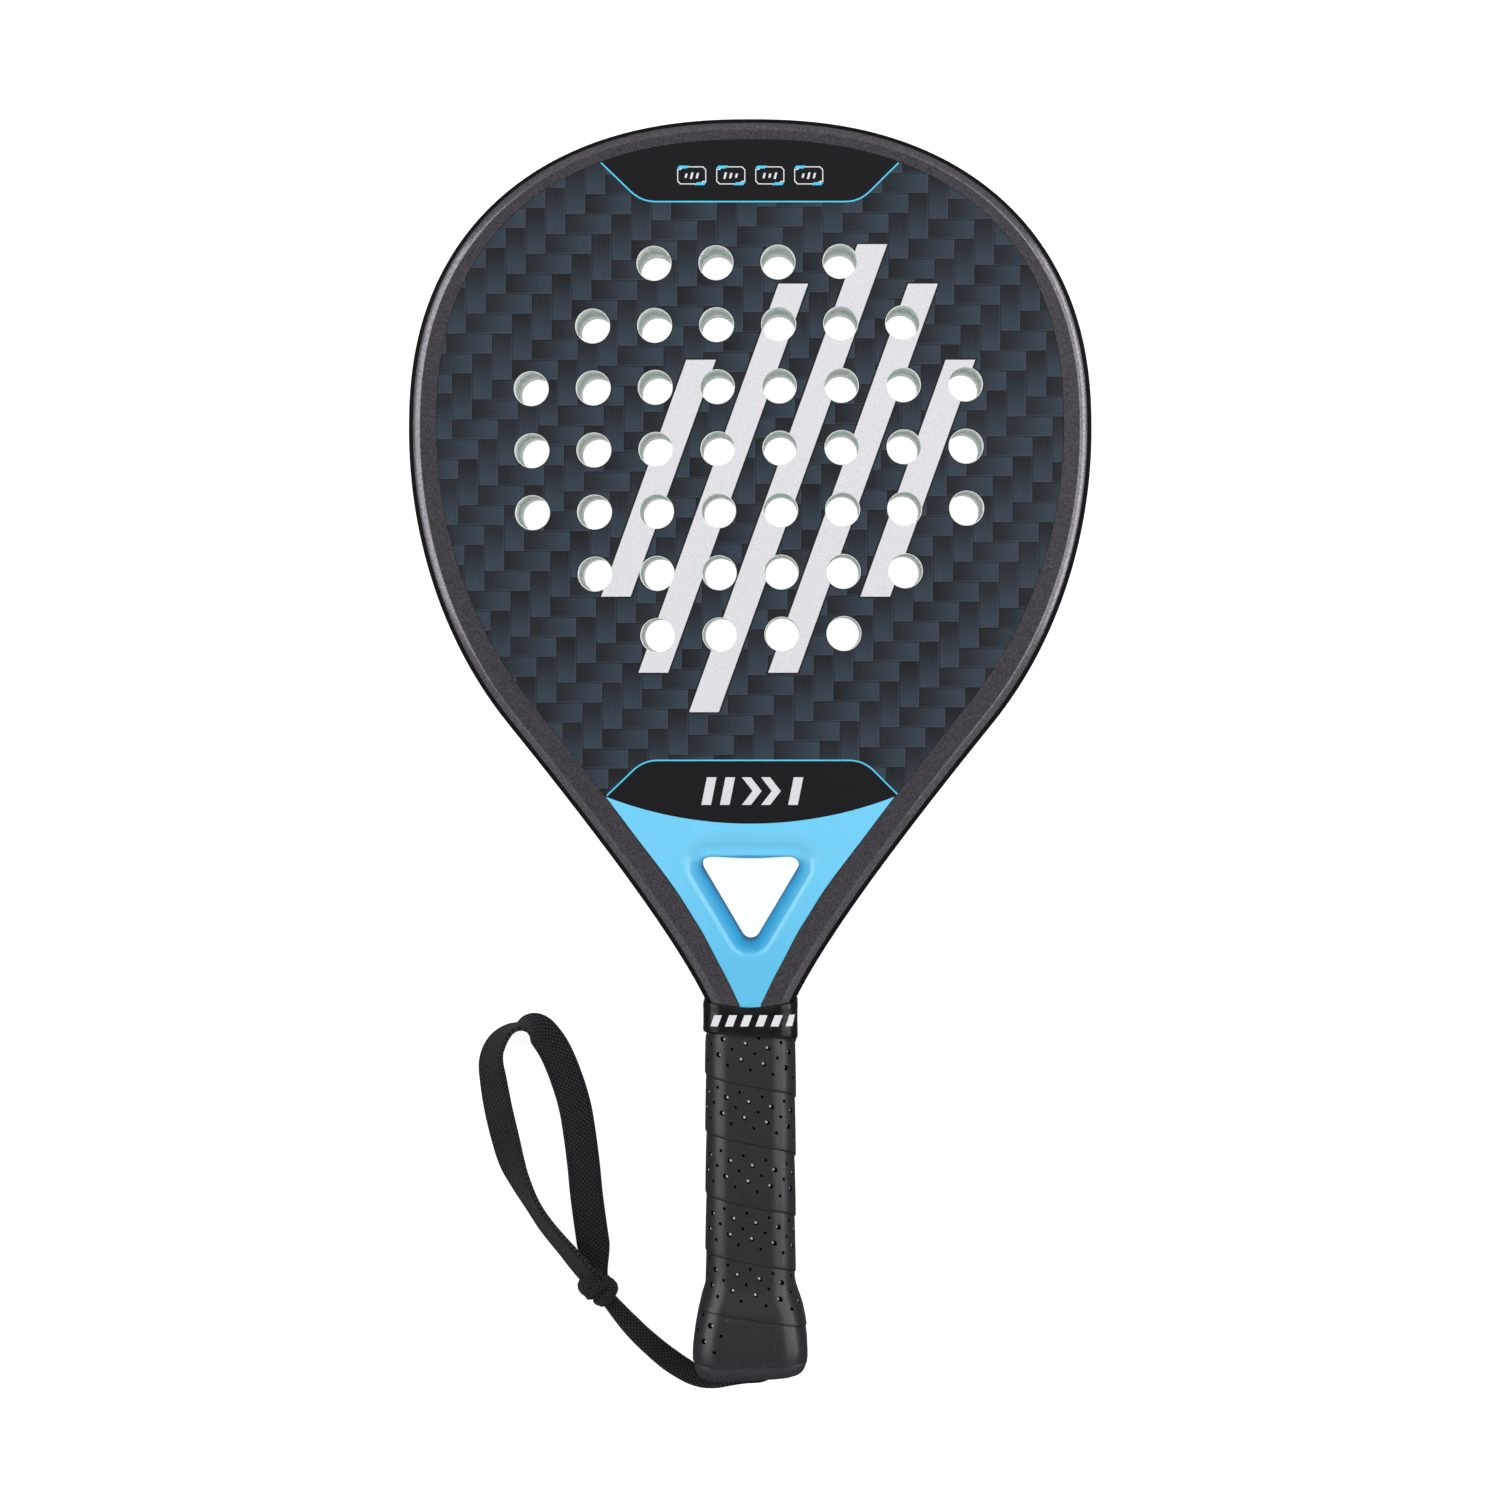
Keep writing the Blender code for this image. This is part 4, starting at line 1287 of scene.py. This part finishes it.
# The dish above the opening: distance from the opening and depth.
VALLEY = smooth_line(
    ((0, 1.9), (0.4, 1.3), (1.2, 1.35), (2.4, 1.6), (3.8, 1.4), (5.6, 0.7), (7.4, 0.2), (9.0, 0)), 4
)
VALLEY_Y = (181.0, 189.0)  # between these the flank turns into the valley
RIDGE = (4.1, 5.5)  # a narrow chamfer that runs along the dish's edge, from the opening outward
# How far out of the opening the rings of the dish's mesh lie.
DISH_RINGS = (0.0, 0.2, 0.45, 0.8, 1.3, 2.0, 2.8, 3.5, 3.95, 4.1, 4.25, 4.8, 5.35, 5.5, 5.65, 6.2, 7.2)
OUTER_RINGS = 12
YOKE_SINK = 0.12  # of its faces below the hoop's


def dish_depth(x, y, corners):
    """Depth of the dish round the opening: a straight flank with a chamfered edge, and a valley above."""
    a, b, c = corners
    away = min(segment_distance((x, y), *pair) for pair in ((a, b), (b, c), (c, a))) - OPENING_CORNER
    above = ease((y - VALLEY_Y[0]) / (VALLEY_Y[1] - VALLEY_Y[0]))
    chamfer = 0.4 * max(0.0, RIDGE[1] - max(away, RIDGE[0]))
    flank = chamfer + DISH_DEPTH * max(0.0, 1 - away / RIDGE[0])
    flank += max(0.0, 1 - away / 0.9) ** 2
    flank -= 0.35 * flank * math.exp(-((x / 1.1) ** 2)) * ease((OPENING_TIP_Y + 1 - y) / 2)
    return flank + (follow(away, VALLEY)[0] - flank) * above


def build_yoke():
    outer = spread(yoke_outline(), 0.9)
    corners = opening_corners()

    def raised(x, y):
        return x, y, between(y, HALF_THICKNESS_STOPS) - YOKE_SINK - dish_depth(x, y, corners)

    flat = []
    for growth in DISH_RINGS:
        ring = opening_ring(growth)
        flat.append([toward(p, ring) for p in outer])
    inner = flat[-1]
    for i in range(1, OUTER_RINGS + 1):
        flat.append([partway(a, b, i / OUTER_RINGS) for a, b in zip(inner, outer)])
    top = [[raised(x, y) for x, y in ring] for ring in flat]
    edge = [(x, y, z - 0.4) for x, y, z in top[-1]]
    top[-1] = [(x * 0.998, y, z) for x, y, z in top[-1]]
    rings = [[(x, y, MID_Z + z) for x, y, z in ring] for ring in [*top, edge]]
    rings += [[(x, y, MID_Z - z) for x, y, z in ring] for ring in [edge, *top[::-1]]]
    mesh = skin_mesh("yoke_shell", rings, cyclic=True)
    finish_piece("yoke_shell", mesh, yoke_paint(), ["throat_yoke"])


# ---------------------------------------------------------------- handle
# The handle under the tape: Y, half width and half thickness.
GRIP_STOPS = (
    (0.0, 18.5, 15.6), (5.8, 19.8, 16.7), (8.0, 20.1, 17.0), (12.0, 20.15, 17.0),
    (17.0, 19.75, 16.6), (22.0, 19.0, 16.0), (25.5, 18.3, 15.5), (28.5, 17.4, 14.8),
    (31.0, 16.6, 14.1), (33.4, 15.95, 13.6), (38.0, 15.8, 13.5), (80.0, 15.8, 13.5),
    (118.0, 15.95, 13.6), (122.0, 15.9, 13.6), (125.0, 15.3, 13.3), (132.0, 15.3, 13.3),
)
GRIP_CORNER = 8.6
# The tape's lower edge: turns and Y.
TAPE_SEAMS = (
    (-1.1, 132.9), (0.25, 105.7), (1.25, 85.2), (2.25, 62.8), (3.25, 42.6), (4.25, 22.9),
    (6.4, -18.0),
)
TAPE_TURNS = (-1.1, 6.3)
TAPE_STEPS = 144  # in each turn
TAPE_ENDS = (5.8, 129.8)
HANDLE_ROUND = 101.2
# The tape's section: distance above its lower edge and lift off the handle.
TAPE_SECTION = (
    (-0.1, -0.35), (-0.14, 0.0), (0.0, 0.3), (0.3, 0.45), (0.9, 0.48), (2.5, 0.46), (5.0, 0.42),
    (8.0, 0.36), (11.0, 0.29), (14.0, 0.22), (17.0, 0.14), (19.5, 0.05), (22.4, -0.1),
    (24.0, -0.35),
)


def on_section(turn, half_width, half_thickness, radius=GRIP_CORNER):
    """A point of a rounded rectangle and its outward normal, at a share of its length. It starts at the
    middle of the left side and goes over the front, down the right side and back along the back."""
    bend_x, bend_z = half_width - radius, half_thickness - radius
    bend = math.pi / 2 * radius
    left = bend_z + (turn % 1.0) * 4 * (bend_x + bend_z + bend)  # from the lower end of the left side
    for nx, nz in ((-1, 0), (0, 1), (1, 0), (0, -1), (-1, 0)):
        way_x, way_z = nz, -nx
        straight = 2 * (abs(nx) * bend_z + abs(nz) * bend_x)
        if left <= straight:
            x, z = nx * half_width + way_x * (left - bend_x), nz * half_thickness + way_z * (left - bend_z)
            return x, z, nx, nz
        left -= straight
        if left <= bend:
            x, z = (nx + way_x) * bend_x, (nz + way_z) * bend_z
            angle = math.atan2(nz, nx) - left / radius
            nx, nz = math.cos(angle), math.sin(angle)
            return x + radius * nx, z + radius * nz, nx, nz
        left -= bend


def leaned(x, y):
    """Y near the butt, whose end leans up to the right."""
    return y + 0.05 * max(0.0, x + 12) * max(0.0, 1 - y / 12)


def build_grip():
    """One tape wound down the handle, each turn lying over the top edge of the turn below it."""
    base = smooth_line(GRIP_STOPS, 6)
    low_end, high_end = TAPE_ENDS
    rings = []
    for i in range(*(int(turns * TAPE_STEPS) for turns in TAPE_TURNS)):
        turns = i / TAPE_STEPS
        ring = []
        for across, lift in TAPE_SECTION:
            y = follow(turns, TAPE_SEAMS)[0] + across
            held = min(max(y, low_end), high_end)
            x, z, nx, nz = on_section(turns, *follow(held, base))
            spot = (x + nx * lift, leaned(x, held), MID_Z + z + nz * lift)
            ring.append((*spot, turns * HANDLE_ROUND, across + held - y, turns))
        rings.append(ring)

    def in_reach(corners):
        return any(low_end < corner[1] < high_end for corner in corners)

    mesh = skin_mesh("grip_wrap", rings, caps=False, round_rings=False, keep=in_reach)
    finish_piece("grip_wrap", mesh, grip_tape(), ["grip_tape"], sharp=60)


def section_rings(stations, count=144):
    """Rings round the handle. A station gives Y, both halves and the corner for a share of the turn."""
    rings = []
    for station in stations:
        ring = []
        for i in range(count):
            turn = i / count
            y, half_width, half_thickness, radius = station(turn)
            x, z, _, _ = on_section(turn, half_width, half_thickness, radius)
            ring.append((x, y, MID_Z + z))
        rings.append(ring)
    return rings


def front_ness(turn):
    """1 at the middle of the front and of the back, falling to 0 at the sides."""
    return max(0.0, math.cos(4 * math.pi * (turn - 0.25))) ** 1.2


COLLAR_CORNER = 6.6
# The collar's section: share of the way up and offset from its outer face.
COLLAR_SECTION = (
    (0.0, -1.0), (0.0, -0.35), (0.03, -0.12), (0.1, 0.0), (0.3, -0.08), (0.55, -0.1), (0.78, -0.06),
    (0.84, -0.02), (0.88, 0.0), (0.94, -0.02), (0.985, -0.15), (1.0, -0.4), (1.0, -1.6), (0.5, -1.0),
)


def collar_edges(turn):
    """Lower and upper Y of the collar: the top dips in the middle and the bottom leans."""
    lean = math.cos(2 * math.pi * turn)  # 1 at the left side and -1 at the right
    return COLLAR_Y[0] - 0.3 + 1.4 * lean, COLLAR_Y[1] - 0.1 - 1.7 * front_ness(turn)


def build_collar():
    """A stretched rubber band with rolled edges."""

    def station(share, offset):
        def at(turn):
            low, high = collar_edges(turn)
            half_width, half_thickness = (half + offset for half in COLLAR_HALF)
            return low + (high - low) * share, half_width, half_thickness, COLLAR_CORNER
        return at

    mesh = skin_mesh("collar_band", section_rings([station(*p) for p in COLLAR_SECTION]), cyclic=True)
    finish_piece("collar_band", mesh, collar_rubber(), ["grip_collar"], sharp=50)


DASH_Y = (127.2, 131.2)
DASH_MIDDLE = sum(DASH_Y) / 2
DASH_FIRST = -12.6
DASH_PITCH = 5.0
DASH_WIDTH = 2.6
DASH_SLANT = 0.35
COLLAR_ROUND = 108.0


def build_collar_marks():
    """Six plain slanted dashes printed on the front of the collar."""
    meshes = []
    for k in range(6):
        rings = []
        for i in range(7):
            across = DASH_FIRST + DASH_PITCH * k + DASH_WIDTH * i / 6
            corners = []
            for y in DASH_Y:
                turn = 0.25 + (across + (y - DASH_MIDDLE) * DASH_SLANT) / COLLAR_ROUND
                x, z, nx, nz = on_section(turn, *COLLAR_HALF, COLLAR_CORNER)
                corners.append([(x + nx * lift, y, MID_Z + z + nz * lift) for lift in (-0.2, 0.0)])
            low, high = corners
            rings.append(low + high[::-1])
        meshes.append(skin_mesh("dash", rings))
    finish_piece("collar_marks", join_meshes("collar_marks", meshes), white_ink())


# The butt's section from under the tape to the floor of its recess: Y, half width and half thickness.
BUTT_STATIONS = (
    (7.5, 19.3, 16.2), (6.4, 19.8, 16.7), (5.2, 19.85, 16.75), (3.6, 19.4, 16.3), (2.2, 18.7, 15.6),
    (1.1, 17.6, 14.7), (0.4, 16.2, 13.5), (0.05, 14.9, 12.3), (0.0, 13.9, 11.3), (0.25, 13.1, 10.6),
    (0.8, 12.7, 10.2), (1.1, 12.2, 9.7),
)
LACE_HOLE_RADIUS = 4.0


def build_butt():
    """The end of the handle: a rolled lip round a shallow recess, with the lace's hole in it."""

    def station(y, half_width, half_thickness):
        return lambda turn: (y, half_width, half_thickness, min(7.0, half_thickness - 3.5))

    rings = section_rings([station(*s) for s in BUTT_STATIONS], 96)
    rings = [[(x, leaned(x, y), z) for x, y, z in ring] for ring in rings]
    rod = [[(x, y, z) for x, z in circle(LACE_HOLE, LACE_HOLE_RADIUS, 40)] for y in (-3.0, 9.0)]
    cutter = add_object("lace_hole", skin_mesh("lace_hole", rod))
    mesh = cut(skin_mesh("butt_end", rings), cutter)
    bpy.data.objects.remove(cutter)
    finish_piece("butt_end", mesh, cap_plastic(), ["butt_cap"])


# ---------------------------------------------------------------- CAD pieces that stay
def dress_cad():
    """Node materials for the CAD pieces that show as they are."""
    looks = {
        "handle_filler": handle_foam(),
        "finishing_tape": finishing_vinyl(),
        "lace_stop_knot": lace_weave("lace_knot_weave", on_mesh=False),
    }
    for node, look in looks.items():
        for slot in bpy.data.objects[node].material_slots:
            slot.material = look


build_stage()
build_lace()
build_hoop()
build_faces()
build_rims()
build_prints()
build_yoke()
build_grip()
build_collar()
build_collar_marks()
build_butt()
dress_cad()
